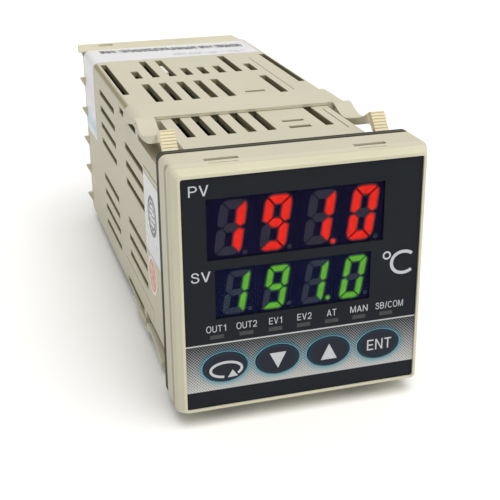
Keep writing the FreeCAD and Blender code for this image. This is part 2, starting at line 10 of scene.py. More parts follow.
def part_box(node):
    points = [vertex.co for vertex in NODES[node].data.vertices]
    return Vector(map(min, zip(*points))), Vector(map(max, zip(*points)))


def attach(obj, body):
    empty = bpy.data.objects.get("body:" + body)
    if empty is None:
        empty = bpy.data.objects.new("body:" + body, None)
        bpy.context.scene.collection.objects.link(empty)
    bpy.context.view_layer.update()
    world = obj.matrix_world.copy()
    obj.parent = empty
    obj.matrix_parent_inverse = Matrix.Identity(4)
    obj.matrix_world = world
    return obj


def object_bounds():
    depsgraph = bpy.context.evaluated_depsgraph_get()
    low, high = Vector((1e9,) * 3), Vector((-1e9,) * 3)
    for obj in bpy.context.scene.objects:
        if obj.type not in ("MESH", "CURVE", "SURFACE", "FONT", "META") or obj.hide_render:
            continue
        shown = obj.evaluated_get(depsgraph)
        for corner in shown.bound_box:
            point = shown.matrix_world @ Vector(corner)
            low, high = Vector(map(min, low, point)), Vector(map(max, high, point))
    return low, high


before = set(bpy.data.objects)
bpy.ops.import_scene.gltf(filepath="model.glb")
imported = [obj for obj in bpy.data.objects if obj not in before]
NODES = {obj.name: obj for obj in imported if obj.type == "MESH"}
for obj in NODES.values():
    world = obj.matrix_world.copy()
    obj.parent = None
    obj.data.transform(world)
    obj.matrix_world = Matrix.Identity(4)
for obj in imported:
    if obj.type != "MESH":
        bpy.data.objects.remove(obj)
CAD_LO, CAD_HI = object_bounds()
MM = 0.001
scene = bpy.context.scene
scene.view_settings.view_transform = "Standard"


def nb(node):
    """A node's box in millimetres: x0, x1, y0, y1, z0, z1."""
    lo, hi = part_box(node)
    return lo.x / MM, hi.x / MM, lo.y / MM, hi.y / MM, lo.z / MM, hi.z / MM


def srgb(r, g, b):
    def f(c):
        c /= 255.0
        return c / 12.92 if c <= 0.04045 else ((c + 0.055) / 1.055) ** 2.4
    return (f(r), f(g), f(b), 1.0)


def tint(c, k):
    return (c[0] * k, c[1] * k, c[2] * k, 1.0)


# ===========================================================================
# Materials
# ===========================================================================
class Nodes:
    """Short calls for building one procedural material."""

    def __init__(self, name):
        self.mat = bpy.data.materials.new(name)
        self.mat.use_nodes = True
        self.nt = self.mat.node_tree
        self.bsdf = self.nt.nodes["Principled BSDF"]
        self._co = None

    def new(self, kind, **kw):
        n = self.nt.nodes.new(kind)
        for k, v in kw.items():
            setattr(n, k, v)
        return n

    def put(self, sock, v):
        if isinstance(v, bpy.types.NodeSocket):
            self.nt.links.new(v, sock)
        elif v is not None:
            sock.default_value = v

    def set(self, **kw):
        for k, v in kw.items():
            self.put(self.bsdf.inputs[k.replace("_", " ")], v)

    def co(self):
        """Object coordinates in millimetres."""
        if self._co is None:
            t = self.new("ShaderNodeTexCoord")
            s = self.new("ShaderNodeVectorMath", operation="SCALE")
            self.nt.links.new(t.outputs["Object"], s.inputs[0])
            s.inputs["Scale"].default_value = 1000.0
            self._co = s.outputs[0]
            x = self.new("ShaderNodeSeparateXYZ")
            self.nt.links.new(self._co, x.inputs[0])
            self.x, self.y, self.z = x.outputs[0], x.outputs[1], x.outputs[2]
            self._nrm = t.outputs["Normal"]
        return self._co

    def nrm(self):
        self.co()
        x = self.new("ShaderNodeSeparateXYZ")
        self.nt.links.new(self._nrm, x.inputs[0])
        return x.outputs[0], x.outputs[1], x.outputs[2]

    def m(self, op, a, b=None, c=None, clamp=False):
        n = self.new("ShaderNodeMath", operation=op, use_clamp=clamp)
        self.put(n.inputs[0], a)
        self.put(n.inputs[1], b)
        self.put(n.inputs[2], c)
        return n.outputs[0]

    def add(self, a, b): return self.m("ADD", a, b)
    def sub(self, a, b): return self.m("SUBTRACT", a, b)
    def mul(self, a, b): return self.m("MULTIPLY", a, b)
    def abs(self, a): return self.m("ABSOLUTE", a)

    def rng(self, v, a, b, c=0.0, d=1.0, smooth=False):
        n = self.new("ShaderNodeMapRange")
        n.clamp = True
        if smooth:
            n.interpolation_type = "SMOOTHSTEP"
        self.put(n.inputs["Value"], v)
        for k, q in (("From Min", a), ("From Max", b), ("To Min", c), ("To Max", d)):
            self.put(n.inputs[k], q)
        return n.outputs["Result"]

    def band(self, v, a, b, soft=0.02):
        """1 between a and b, with soft edges."""
        return self.mul(self.rng(v, a - soft, a + soft), self.rng(v, b - soft, b + soft, 1.0, 0.0))

    def noise(self, scale, detail=2.0, rough=0.5, vec=None, dist=0.0, stretch=None):
        v = vec or self.co()
        if stretch:
            s = self.new("ShaderNodeVectorMath", operation="MULTIPLY")
            self.put(s.inputs[0], v)
            s.inputs[1].default_value = stretch
            v = s.outputs[0]
        n = self.new("ShaderNodeTexNoise")
        self.put(n.inputs["Vector"], v)
        n.inputs["Scale"].default_value = scale
        n.inputs["Detail"].default_value = detail
        n.inputs["Roughness"].default_value = rough
        n.inputs["Distortion"].default_value = dist
        return n.outputs[0]

    def mix(self, f, a, b):
        n = self.new("ShaderNodeMix", data_type="RGBA")
        self.put(n.inputs[0], f)
        self.put(n.inputs[6], a)
        self.put(n.inputs[7], b)
        return n.outputs[2]

    def bump(self, h, strength=0.2, dist=0.0001, normal=None):
        n = self.new("ShaderNodeBump")
        n.inputs["Strength"].default_value = strength
        n.inputs["Distance"].default_value = dist
        self.put(n.inputs["Height"], h)
        if normal is not None:
            self.put(n.inputs["Normal"], normal)
        self.put(self.bsdf.inputs["Normal"], n.outputs[0])
        return n.outputs[0]


def moulded(name, rgb, rough=0.46, grain=2.6, bump=0.16, var=0.035, warm=None, spec=0.5):
    """Moulded plastic: slow tone drift, fine speckle, fine spark texture in bump and roughness."""
    g = Nodes(name)
    g.co()
    slow = g.noise(0.06, 2.0, 0.5)
    fine = g.noise(grain, 2.0, 0.6)
    a = tint(rgb, 1.0 - var)
    b = warm or tint(rgb, 1.0 + var)
    col = g.mix(g.rng(slow, 0.3, 0.7), a, b)
    col = g.mix(g.rng(fine, 0.3, 0.75, 0.0, 0.10), col, tint(rgb, 0.72))
    g.set(Base_Color=col, Roughness=g.rng(fine, 0.25, 0.75, rough - 0.05, rough + 0.07), Specular_IOR_Level=spec)
    g.bump(fine, bump, 0.00004)
    return g.mat


def metal(name, rgb, rough=0.3, scale=1.2, stretch=(1, 1, 1), stain=0.12):
    g = Nodes(name)
    g.co()
    n = g.noise(scale, 3.0, 0.6, stretch=stretch)
    s = g.noise(0.35, 2.0, 0.5)
    col = g.mix(g.rng(s, 0.35, 0.7), rgb, tint(rgb, 1.0 - stain))
    g.set(Base_Color=col, Metallic=1.0, Roughness=g.rng(n, 0.3, 0.7, rough - 0.08, rough + 0.12))
    g.bump(n, 0.12, 0.00003)
    return g.mat


CREAM = srgb(198, 192, 171)


def make_case():
    """Cream moulding with painted shade: its vent walls, rebates, pockets and inside fall off to a dark olive."""
    g = Nodes("case_cream")
    g.co()
    slow = g.noise(0.06, 2.0, 0.5)
    fine = g.noise(2.4, 2.0, 0.6)
    col = g.mix(g.rng(slow, 0.3, 0.7), tint(CREAM, 0.975), srgb(199, 193, 171))
    col = g.mix(g.rng(fine, 0.3, 0.75, 0.0, 0.10), col, tint(CREAM, 0.74))
    ax, az = g.abs(g.x), g.abs(g.z)
    d = g.m("MINIMUM", g.sub(22.35, ax), g.sub(22.35, az))
    tube = g.rng(g.y, 0.4, 0.9)
    rebate_shade_mask = g.mul(g.mul(g.rng(ax, 17.45, 17.6), g.rng(az, 18.65, 18.8)), g.rng(g.y, 26.2, 26.0))
    inner_shade_zone = g.mul(tube, g.sub(1.0, rebate_shade_mask))
    # painted shade: vent walls darken to olive with depth below the outer faces, and the inside beyond them to near
    # black
    vent_wall_shade = g.mul(inner_shade_zone, g.rng(d, 0.06, 0.30, 0.0, 0.92))
    col = g.mix(vent_wall_shade, col, srgb(138, 130, 96))
    col = g.mix(g.mul(inner_shade_zone, g.rng(d, 0.9, 1.7, 0.0, 0.92)), col, srgb(46, 43, 31))
    # painted shade in the rebates under the bracket arms
    col = g.mix(g.mul(g.mul(tube, rebate_shade_mask), g.rng(d, 0.3, 2.2, 0.0, 0.42)), col, srgb(118, 104, 68))
    # painted shade in the pockets in the top and the bottom of the front ring, and on the hidden inside of the ring
    ring_pocket_shade = g.mul(g.band(g.y, -7.85, -6.35, 0.05), g.rng(az, 23.85, 23.55, 0.0, 0.7))
    col = g.mix(ring_pocket_shade, col, srgb(140, 130, 98))
    g.set(Base_Color=col, Roughness=g.rng(fine, 0.25, 0.75, 0.45, 0.57), Specular_IOR_Level=0.3)
    g.bump(fine, 0.2, 0.00004)
    return g.mat


M_CASE = make_case()


def make_frame():
    """Cream frame; the part behind the film, with the window openings, is painted near black as shade, for the dark
    behind the tinted windows.
    """
    g = Nodes("frame_cream")
    g.co()
    slow = g.noise(0.08, 2.0, 0.5)
    fine = g.noise(3.2, 2.0, 0.6)
    col = g.mix(g.rng(slow, 0.3, 0.7), srgb(199, 194, 169), srgb(204, 199, 173))
    col = g.mix(g.rng(fine, 0.3, 0.75, 0.0, 0.08), col, srgb(170, 163, 134))
    # painted shade: the frame behind the film is made near black, as it sits in the dark behind the windows
    inner = g.mul(g.mul(g.band(g.x, -18.6, 15.8, 0.05), g.band(g.z, -9.0, 18.9, 0.05)), g.rng(g.y, -10.99, -10.9))
    col = g.mix(inner, col, g.mix(g.rng(fine, 0.3, 0.7), srgb(13, 13, 26), srgb(17, 17, 30)))
    g.set(Base_Color=col, Roughness=g.rng(fine, 0.25, 0.75, 0.40, 0.50), Specular_IOR_Level=g.rng(inner, 0.0, 1.0, 0.35, 0.05))
    g.bump(fine, 0.10, 0.00004)
    return g.mat


M_FRAME = make_frame()


def make_bracket():
    """Cream moulding, with a painted highlight that makes the ribbed thumb tabs a little warmer and paler."""
    g = Nodes("bracket_cream")
    g.co()
    slow = g.noise(0.07, 2.0, 0.5)
    fine = g.noise(3.0, 2.0, 0.6)
    col = g.mix(g.rng(slow, 0.3, 0.7), srgb(197, 191, 170), srgb(202, 196, 174))
    col = g.mix(g.rng(fine, 0.3, 0.75, 0.0, 0.10), col, srgb(166, 160, 138))
    # painted highlight on the upper front of the thumb tabs
    tab_highlight = g.mul(g.rng(g.y, 8.6, 7.4), g.rng(g.abs(g.z), 22.4, 23.2))
    col = g.mix(tab_highlight, col, srgb(222, 212, 178))
    g.set(Base_Color=col, Roughness=g.rng(fine, 0.25, 0.75, 0.42, 0.53), Specular_IOR_Level=0.3)
    g.bump(fine, 0.10, 0.00004)
    return g.mat


M_BRACKET = make_bracket()
M_TERM = moulded("terminal_cream", srgb(200, 194, 172), 0.50, 2.4, 0.2, 0.03, srgb(204, 197, 171), 0.3)
M_SEALRUB = moulded("seal_rubber", srgb(48, 47, 44), 0.75, 1.6, 0.5, 0.15, spec=0.3)
M_BLACKP = moulded("black_plastic", srgb(34, 34, 35), 0.5, 2.5, 0.2, 0.1)
M_NYLONB = moulded("black_nylon", srgb(44, 44, 46), 0.42, 2.0, 0.15, 0.1)
M_WHITE = moulded("white_nylon", srgb(226, 224, 212), 0.4, 2.0, 0.1, 0.03)
M_RELAY = moulded("relay_blue", srgb(30, 34, 48), 0.40, 2.0, 0.12, 0.06)
M_RELAYCAP = moulded("relay_white_print", srgb(214, 218, 222), 0.45, 3.0, 0.05, 0.03)
M_FERRITE = moulded("ferrite_grey", srgb(62, 61, 62), 0.6, 4.0, 0.5, 0.12)
M_VARISTOR = moulded("varistor_blue", srgb(38, 78, 150), 0.35, 0.9, 0.5, 0.12)
M_SILK = moulded("silkscreen_white", srgb(222, 224, 216), 0.55, 4.0, 0.1, 0.04)
M_RESISTOR = moulded("resistor_black", srgb(30, 30, 32), 0.35, 4.0, 0.1, 0.1)
M_CERAMIC = moulded("ceramic_tan", srgb(176, 148, 108), 0.4, 4.0, 0.1, 0.08)
M_CERAMICW = moulded("ceramic_white", srgb(224, 222, 214), 0.35, 3.0, 0.1, 0.03)
M_STEEL = metal("plated_steel", srgb(196, 194, 186), 0.30, 1.6)
M_BRASS = metal("tinned_brass", srgb(206, 184, 128), 0.28, 1.6, stain=0.18)
M_TIN = metal("solder_tin", srgb(190, 192, 194), 0.28, 2.5)
M_GOLD = metal("gold_flash", srgb(220, 182, 96), 0.25, 2.0)
M_CAN = metal("drawn_can", srgb(202, 202, 200), 0.26, 1.0, (1, 4, 4))
M_COPPER = metal("enamelled_copper", srgb(186, 98, 52), 0.3, 2.0)


def make_gasket():
    """Moulded rubber ring: dark lips at both faces, a slightly paler groove between them."""
    g = Nodes("gasket_rubber")
    g.co()
    n = g.noise(1.6, 3.0, 0.6)
    col = g.mix(g.rng(n, 0.3, 0.75), srgb(46, 44, 37), srgb(60, 57, 48))
    col = g.mix(g.mul(g.band(g.y, -1.15, -0.65, 0.12), 0.8), col, srgb(92, 89, 76))
    g.set(Base_Color=col, Roughness=g.rng(n, 0.3, 0.7, 0.68, 0.8), Specular_IOR_Level=0.2)
    g.bump(n, 0.5, 0.00004)
    return g.mat


M_GASKET = make_gasket()


def make_board():
    """Solder-masked circuit board: traces under the mask, vias, gold edge pads and bare laminate edges."""
    g = Nodes("circuit_board")
    g.co()
    nx, ny, nz = g.nrm()
    base = srgb(22, 86, 50)
    lite = srgb(44, 122, 70)
    # two families of parallel traces, each kept in patches
    p1 = g.rng(g.noise(0.055, 0.0), 0.47, 0.50)
    p2 = g.rng(g.noise(0.07, 0.0, vec=None, stretch=(1.0, 0.8, 1.3)), 0.50, 0.53)
    fz = g.m("FRACT", g.mul(g.z, 1.12))
    t1 = g.mul(g.band(fz, 0.3, 0.62, 0.03), p1)
    fy = g.m("FRACT", g.mul(g.add(g.y, g.x), 0.86))
    t2 = g.mul(g.band(fy, 0.3, 0.62, 0.03), p2)
    tr = g.m("MAXIMUM", t1, t2)
    col = g.mix(tr, base, lite)
    # vias
    v = g.new("ShaderNodeTexVoronoi", feature="F1")
    g.put(v.inputs["Vector"], g.co())
    v.inputs["Scale"].default_value = 0.22
    via = g.rng(v.outputs["Distance"], 0.085, 0.11, 1.0, 0.0)
    col = g.mix(via, col, srgb(160, 168, 150))
    # laminate edges
    face = g.m("MAXIMUM", g.abs(nx), g.mul(g.abs(ny), g.rng(g.abs(g.y), 5.4, 5.5, 1.0, 0.0)))
    edge = g.rng(face, 0.5, 0.6, 1.0, 0.0)
    col = g.mix(edge, col, srgb(176, 170, 108))
    # gold pads at the rear edge, where the terminal blades bear
    zz = g.abs(g.z)
    rows = g.m("MAXIMUM", g.m("MAXIMUM", g.band(zz, -1.5, 1.5), g.band(zz, 6.45, 9.45)), g.band(zz, 14.4, 17.4))
    pad = g.mul(g.mul(rows, g.rng(g.y, 79.7, 79.8)), g.rng(g.y, 86.5, 86.6, 1.0, 0.0))
    pad = g.mul(pad, g.rng(g.abs(nx), 0.5, 0.6))
    col = g.mix(pad, col, srgb(214, 176, 92))
    fine = g.noise(1.4, 2.0, 0.5)
    rough = g.rng(fine, 0.3, 0.7, 0.24, 0.36)
    g.set(Base_Color=col, Metallic=g.m("MAXIMUM", pad, g.mul(via, 0.9)), Roughness=rough)
    g.bump(g.add(g.mul(tr, 0.6), g.mul(fine, 0.15)), 0.3, 0.00004)
    return g.mat


def make_overlay():
    """Printed polyester film: charcoal field, pale rule, halftone band that lightens downwards, soft teal halos."""
    g = Nodes("front_overlay_film")
    g.co()
    x, z = g.x, g.z
    grain = g.noise(5.0, 2.0, 0.6)
    slow = g.noise(0.09, 2.0, 0.5)
    dark = g.mix(g.rng(slow, 0.3, 0.7), srgb(25, 28, 33), srgb(29, 32, 37))
    dark = g.mix(g.rng(grain, 0.35, 0.7, 0.0, 0.35), dark, srgb(38, 41, 46))
    # halftone: a screen of dots at 45 degrees
    t = g.rng(z, -9.7, -18.9)
    u = g.m("COSINE", g.mul(g.add(x, z), 11.0))
    w = g.m("COSINE", g.mul(g.sub(x, z), 11.0))
    s = g.add(g.mul(g.add(u, w), 0.25), 0.5)
    cov = g.rng(g.m("POWER", t, 0.8), 0.0, 1.0, 0.32, 0.82)
    dot = g.rng(s, g.sub(g.sub(1.0, cov), 0.12), g.add(g.sub(1.0, cov), 0.12))
    light = g.mix(t, srgb(120, 122, 123), srgb(190, 190, 187))
    tone = g.mix(dot, g.mix(t, srgb(26, 29, 34), srgb(52, 54, 58)), light)
    # halos round the four keys, which stand at x = -15, -5, 5 and 15
    k = g.abs(g.sub(g.abs(g.sub(g.abs(x), 10.0)), 5.0))
    kz = g.add(z, 14.4)

    def ell(a, b):
        q = g.add(g.m("POWER", g.m("DIVIDE", k, a), 2.0), g.m("POWER", g.m("DIVIDE", g.abs(kz), b), 2.0))
        return g.m("SQRT", q)

    r = ell(4.2, 2.95)
    r2 = ell(5.35, 4.02)
    halo = g.rng(r2, 1.07, 0.76, 0.0, 1.0, True)
    low = g.rng(kz, 2.6, -3.6)
    lit = g.mix(low, srgb(70, 124, 138), srgb(118, 166, 176))
    shade = g.mix(low, srgb(30, 62, 74), srgb(62, 108, 122))
    tone = g.mix(g.mul(halo, 0.88), tone, g.mix(dot, shade, lit))
    # printed light blue ring at each key's edge, made stronger along the top as a painted highlight on the raised key
    # edge
    edge = g.mul(g.rng(r, 1.085, 1.045), g.rng(kz, -2.4, 1.8, 0.22, 0.92))
    tone = g.mix(edge, tone, srgb(112, 172, 186))
    col = g.mix(g.band(z, -18.93, -9.66, 0.02), dark, tone)
    col = g.mix(g.band(z, -9.62, -9.38, 0.04), col, srgb(196, 197, 196))
    g.set(Base_Color=col, Roughness=g.rng(grain, 0.3, 0.7, 0.44, 0.54), Specular_IOR_Level=0.10)
    g.bump(grain, 0.10, 0.00003)
    return g.mat


def make_key(name, cx):
    """Embossed key top: charcoal with a printed teal edge, made stronger at the bottom as painted shade."""
    g = Nodes(name)
    g.co()
    kx = g.abs(g.sub(g.x, cx))
    kz = g.add(g.z, 14.4)
    r = g.m("SQRT", g.add(g.m("POWER", g.m("DIVIDE", kx, 4.2), 2.0), g.m("POWER", g.m("DIVIDE", g.abs(kz), 2.95), 2.0)))
    grain = g.noise(5.0, 2.0, 0.6)
    col = g.mix(g.rng(grain, 0.35, 0.7, 0.0, 0.35), srgb(36, 38, 47), srgb(44, 47, 56))
    # printed teal edge, with painted shade making it stronger towards the bottom
    e = g.mul(g.rng(r, 0.80, 1.0, 0.0, 1.0, True), g.rng(kz, 2.2, -2.6, 0.35, 0.85))
    col = g.mix(e, col, srgb(28, 62, 78))
    g.set(Base_Color=col, Roughness=g.rng(grain, 0.3, 0.7, 0.42, 0.52), Specular_IOR_Level=0.12)
    g.bump(grain, 0.10, 0.00003)
    return g.mat


def make_window():
    g = Nodes("display_window_tint")
    g.co()
    n = g.noise(0.12, 2.0, 0.5)
    f = g.noise(5.0, 1.0, 0.5)
    col = g.mix(g.rng(n, 0.3, 0.7), srgb(9, 10, 34), srgb(12, 13, 40))
    g.set(Base_Color=col, Roughness=g.rng(f, 0.3, 0.7, 0.34, 0.42), Alpha=0.10, Specular_IOR_Level=0.08)
    return g.mat


def make_glow(name, rgb, edge, strength):
    """Lit light pipe: full colour on its flat middle, darker on the sloping border."""
    g = Nodes(name)
    g.co()
    n = g.noise(1.6, 2.0, 0.6)
    core = g.mix(g.rng(n, 0.3, 0.7), rgb, tint(rgb, 0.74))
    col = g.mix(g.rng(g.y, -10.337, -10.358), edge, core)
    g.set(Base_Color=tint(rgb, 0.15), Emission_Color=col, Emission_Strength=strength, Roughness=g.rng(n, 0.3, 0.7, 0.42, 0.5), Specular_IOR_Level=0.1)
    return g.mat


def make_label():
    """White film label wrapped over the rear edge: grey text-like bars, no words, and a faint pink band and a faint
    blue band on the side face.
    """
    g = Nodes("rating_label_film")
    g.co()
    nx, ny, nz = g.nrm()
    n = g.noise(0.25, 2.0, 0.5)
    base = g.mix(g.rng(n, 0.3, 0.7), srgb(216, 216, 218), srgb(222, 222, 224))
    topf = g.rng(nz, 0.5, 0.7)
    # a row of dark grey marks of uneven height and spacing, and a fainter shorter row; no words
    yy = g.add(g.y, g.mul(g.x, 0.062))
    marks = g.noise(1.0, 2.0, 0.75, stretch=(1.9, 0.55, 0.1))
    words = g.noise(1.0, 1.0, 0.5, stretch=(0.42, 0.02, 0.02))
    top = g.rng(marks, 0.30, 0.62, 95.7, 94.4)
    bot = g.rng(marks, 0.30, 0.62, 91.0, 92.2)
    b1 = g.mul(g.rng(yy, g.add(top, 0.4), g.sub(top, 0.4)), g.rng(yy, g.sub(bot, 0.4), g.add(bot, 0.4)))
    b1 = g.mul(b1, g.mul(g.rng(marks, 0.44, 0.60, 1.0, 0.62), g.rng(words, 0.30, 0.36, 0.3, 1.0)))
    b1 = g.mul(b1, g.band(g.x, -18.7, 18.4, 0.3))
    fine = g.noise(1.0, 2.0, 0.7, stretch=(2.6, 0.9, 0.1))
    b2 = g.mul(g.band(yy, 85.2, 87.4, 0.5), g.band(g.x, -1.2, 17.3, 0.3))
    b2 = g.mul(b2, g.mul(g.rng(fine, 0.44, 0.56, 0.0, 0.5), g.rng(words, 0.4, 0.5, 0.3, 1.0)))
    ink = g.mul(g.m("MAXIMUM", b1, b2), topf)
    col = g.mix(ink, base, srgb(62, 66, 76))
    side = g.rng(nx, -0.5, -0.8)
    pk = g.mul(side, g.mul(g.rng(g.z, 9.0, 13.0, 0, 1, True), g.rng(g.z, 14.0, 18.0, 0.45, 0.0, True)))
    col = g.mix(pk, col, srgb(218, 190, 204))
    bl = g.mul(side, g.mul(g.rng(g.z, 2.6, 5.0, 0, 1, True), g.rng(g.z, 5.5, 8.5, 0.8, 0.0, True)))
    col = g.mix(bl, col, srgb(150, 186, 210))
    g.set(Base_Color=col, Roughness=g.rng(n, 0.3, 0.7, 0.28, 0.38))
    g.bump(g.noise(0.5, 2.0, 0.5), 0.12, 0.0001)
    return g.mat


def make_side_label():
    g = Nodes("side_label_film")
    g.co()
    n = g.noise(0.3, 2.0, 0.5)
    base = g.mix(g.rng(n, 0.3, 0.7), srgb(206, 207, 211), srgb(215, 216, 219))
    d = g.m("SQRT", g.add(g.m("POWER", g.abs(g.sub(g.y, 14.2)), 2.0), g.m("POWER", g.abs(g.sub(g.z, 6.7)), 2.0)))
    ring = g.m("MAXIMUM", g.band(d, 3.24, 4.16, 0.05), g.mul(g.band(d, 2.34, 2.90, 0.05), 1.0))
    ang = g.m("ARCTAN2", g.sub(g.z, 6.7), g.sub(g.y, 14.2))
    ticks = g.mul(g.band(d, 2.95, 3.45, 0.05), g.rng(g.m("COSINE", g.mul(ang, 13.0)), 0.1, 0.5))
    lines = g.m("SINE", g.add(g.mul(g.z, 5.2), g.mul(g.noise(0.7, 2.0, 0.6), 7.0)))
    inner = g.mul(g.rng(d, 2.4, 2.2), g.rng(lines, 0.15, 0.5))
    ink = g.m("MAXIMUM", g.m("MAXIMUM", ring, g.mul(ticks, 0.8)), g.mul(inner, 0.8))
    col = g.mix(g.mul(ink, 0.97), base, srgb(28, 30, 36))
    g.set(Base_Color=col, Roughness=g.rng(n, 0.3, 0.7, 0.26, 0.36))
    g.bump(g.noise(0.5, 2.0, 0.5), 0.1, 0.0001)
    return g.mat


def make_seal():
    g = Nodes("seal_paper")
    g.co()
    n = g.noise(1.2, 3.0, 0.6)
    base = g.mix(g.rng(n, 0.3, 0.7), srgb(222, 216, 206), srgb(230, 224, 215))
    d = g.m("SQRT", g.add(g.m("POWER", g.abs(g.sub(g.y, 16.4)), 2.0), g.m("POWER", g.abs(g.add(g.z, 6.7)), 2.0)))
    spots = g.noise(1.5, 2.0, 0.7)
    fill = g.mul(g.rng(d, 3.25, 3.05), g.rng(spots, 0.40, 0.60, 0.38, 1.0))
    ring = g.m("MAXIMUM", fill, g.band(d, 2.95, 3.35, 0.08))
    col = g.mix(g.mul(ring, 0.85), base, srgb(206, 122, 104))
    g.set(Base_Color=col, Roughness=g.rng(n, 0.3, 0.7, 0.55, 0.65))
    g.bump(n, 0.2, 0.00004)
    return g.mat


def make_pipe():
    g = Nodes("smoked_light_pipe")
    g.co()
    n = g.noise(2.0, 2.0, 0.5)
    col = g.mix(g.rng(n, 0.3, 0.7), srgb(62, 63, 63), srgb(74, 74, 73))
    g.set(Base_Color=col, Roughness=g.rng(n, 0.3, 0.7, 0.42, 0.52), Specular_IOR_Level=0.15)
    return g.mat


def make_module():
    g = Nodes("digit_module_face")
    g.co()
    n = g.noise(2.0, 2.0, 0.5)
    nx, ny, nz = g.nrm()
    face = g.rng(g.y, -8.6, -8.8)
    body = g.mix(g.rng(n, 0.3, 0.7), srgb(198, 197, 190), srgb(208, 207, 200))
    low = g.rng(g.z, 5.5, 6.0, 1.0, 0.0)
    navy = g.mix(low, g.mix(g.rng(n, 0.3, 0.7), srgb(10, 7, 38), srgb(13, 9, 44)), g.mix(g.rng(n, 0.3, 0.7), srgb(9, 13, 46), srgb(12, 17, 53)))
    col = g.mix(face, body, navy)
    g.set(Base_Color=col, Roughness=g.rng(n, 0.3, 0.7, 0.5, 0.6), Specular_IOR_Level=0.06)
    g.bump(n, 0.1, 0.00004)
    return g.mat


def make_chip():
    g = Nodes("chip_epoxy")
    g.co()
    n = g.noise(3.5, 3.0, 0.6)
    col = g.mix(g.rng(n, 0.3, 0.7), srgb(34, 34, 36), srgb(44, 44, 46))
    g.set(Base_Color=col, Roughness=g.rng(n, 0.3, 0.7, 0.5, 0.62))
    g.bump(n, 0.25, 0.00004)
    return g.mat


def make_sleeve():
    """Shrink sleeve of the electrolytic capacitors, with the pale stripe along one side."""
    g = Nodes("capacitor_sleeve")
    g.co()
    nx, ny, nz = g.nrm()
    n = g.noise(1.0, 2.0, 0.5)
    col = g.mix(g.rng(n, 0.3, 0.7), srgb(24, 30, 58), srgb(30, 38, 70))
    st = g.mul(g.rng(nz, 0.86, 0.89), 1.0)
    dash = g.rng(g.m("SINE", g.mul(g.add(g.y, g.x), 2.1)), -0.2, 0.1, 0.55, 1.0)
    col = g.mix(g.mul(st, dash), col, srgb(188, 192, 200))
    g.set(Base_Color=col, Roughness=g.rng(n, 0.3, 0.7, 0.22, 0.32), Coat_Weight=0.25)
    g.bump(n, 0.15, 0.0001)
    return g.mat


def make_tape():
    g = Nodes("winding_tape")
    g.co()
    n = g.noise(0.8, 2.0, 0.5)
    lay = g.m("SINE", g.mul(g.y, 2.8))
    col = g.mix(g.rng(n, 0.3, 0.7), srgb(206, 168, 44), srgb(218, 182, 58))
    col = g.mix(g.rng(lay, 0.93, 0.99), col, srgb(150, 116, 28))
    g.set(Base_Color=col, Roughness=g.rng(n, 0.3, 0.7, 0.25, 0.36), Coat_Weight=0.3)
    g.bump(g.add(lay, n), 0.2, 0.00008)
    return g.mat


def make_led():
    g = Nodes("led_epoxy")
    g.co()
    n = g.noise(2.5, 2.0, 0.5)
    col = g.mix(g.rng(n, 0.3, 0.7), srgb(226, 222, 196), srgb(236, 232, 210))
    g.set(Base_Color=col, Roughness=0.22, Coat_Weight=0.4)
    g.bump(n, 0.05, 0.00003)
    return g.mat


def make_ink(name, rgb, k=0.9):
    g = Nodes(name)
    g.co()
    n = g.noise(3.0, 2.0, 0.6)
    col = g.mix(g.rng(n, 0.3, 0.75), rgb, tint(rgb, k))
    g.set(Base_Color=col, Roughness=g.rng(n, 0.3, 0.7, 0.42, 0.54))
    return g.mat


def make_winding():
    g = Nodes("choke_winding")
    g.co()
    w = g.m("SINE", g.mul(g.y, 9.0))
    n = g.noise(1.0, 2.0, 0.5)
    col = g.mix(g.rng(w, -0.6, 0.6), srgb(120, 56, 28), srgb(196, 108, 58))
    g.set(Base_Color=col, Metallic=0.85, Roughness=g.rng(n, 0.3, 0.7, 0.26, 0.38))
    g.bump(w, 0.6, 0.0002)
    return g.mat


M_BOARD = make_board()
M_OVERLAY = make_overlay()
M_WINDOW = make_window()
M_LABEL = make_label()
M_SIDE = make_side_label()
M_SEAL = make_seal()
M_PIPE = make_pipe()
M_MODULE = make_module()
M_CHIP = make_chip()
M_SLEEVE = make_sleeve()
M_TAPE = make_tape()
M_LED = make_led()
M_WINDING = make_winding()
M_INK = make_ink("printed_light_grey", srgb(190, 191, 194))
M_RED = make_glow("red_segment_lit", srgb(250, 44, 26), srgb(176, 14, 14), 1.0)
M_GREEN = make_glow("green_segment_lit", srgb(104, 186, 56), srgb(42, 112, 44), 1.0)
M_UNLIT = make_ink("unlit_segment_dark", srgb(18, 12, 42))
# painted glow: dim halo colours for the light spilling round the lit segments onto the window
M_RED_GLOW_HALO = make_ink("red_segment_painted_glow", srgb(84, 6, 24))
M_GREEN_GLOW_HALO = make_ink("green_segment_painted_glow", srgb(20, 62, 34))
M_UNLIT_SV = make_ink("unlit_segment_teal", srgb(13, 33, 58))

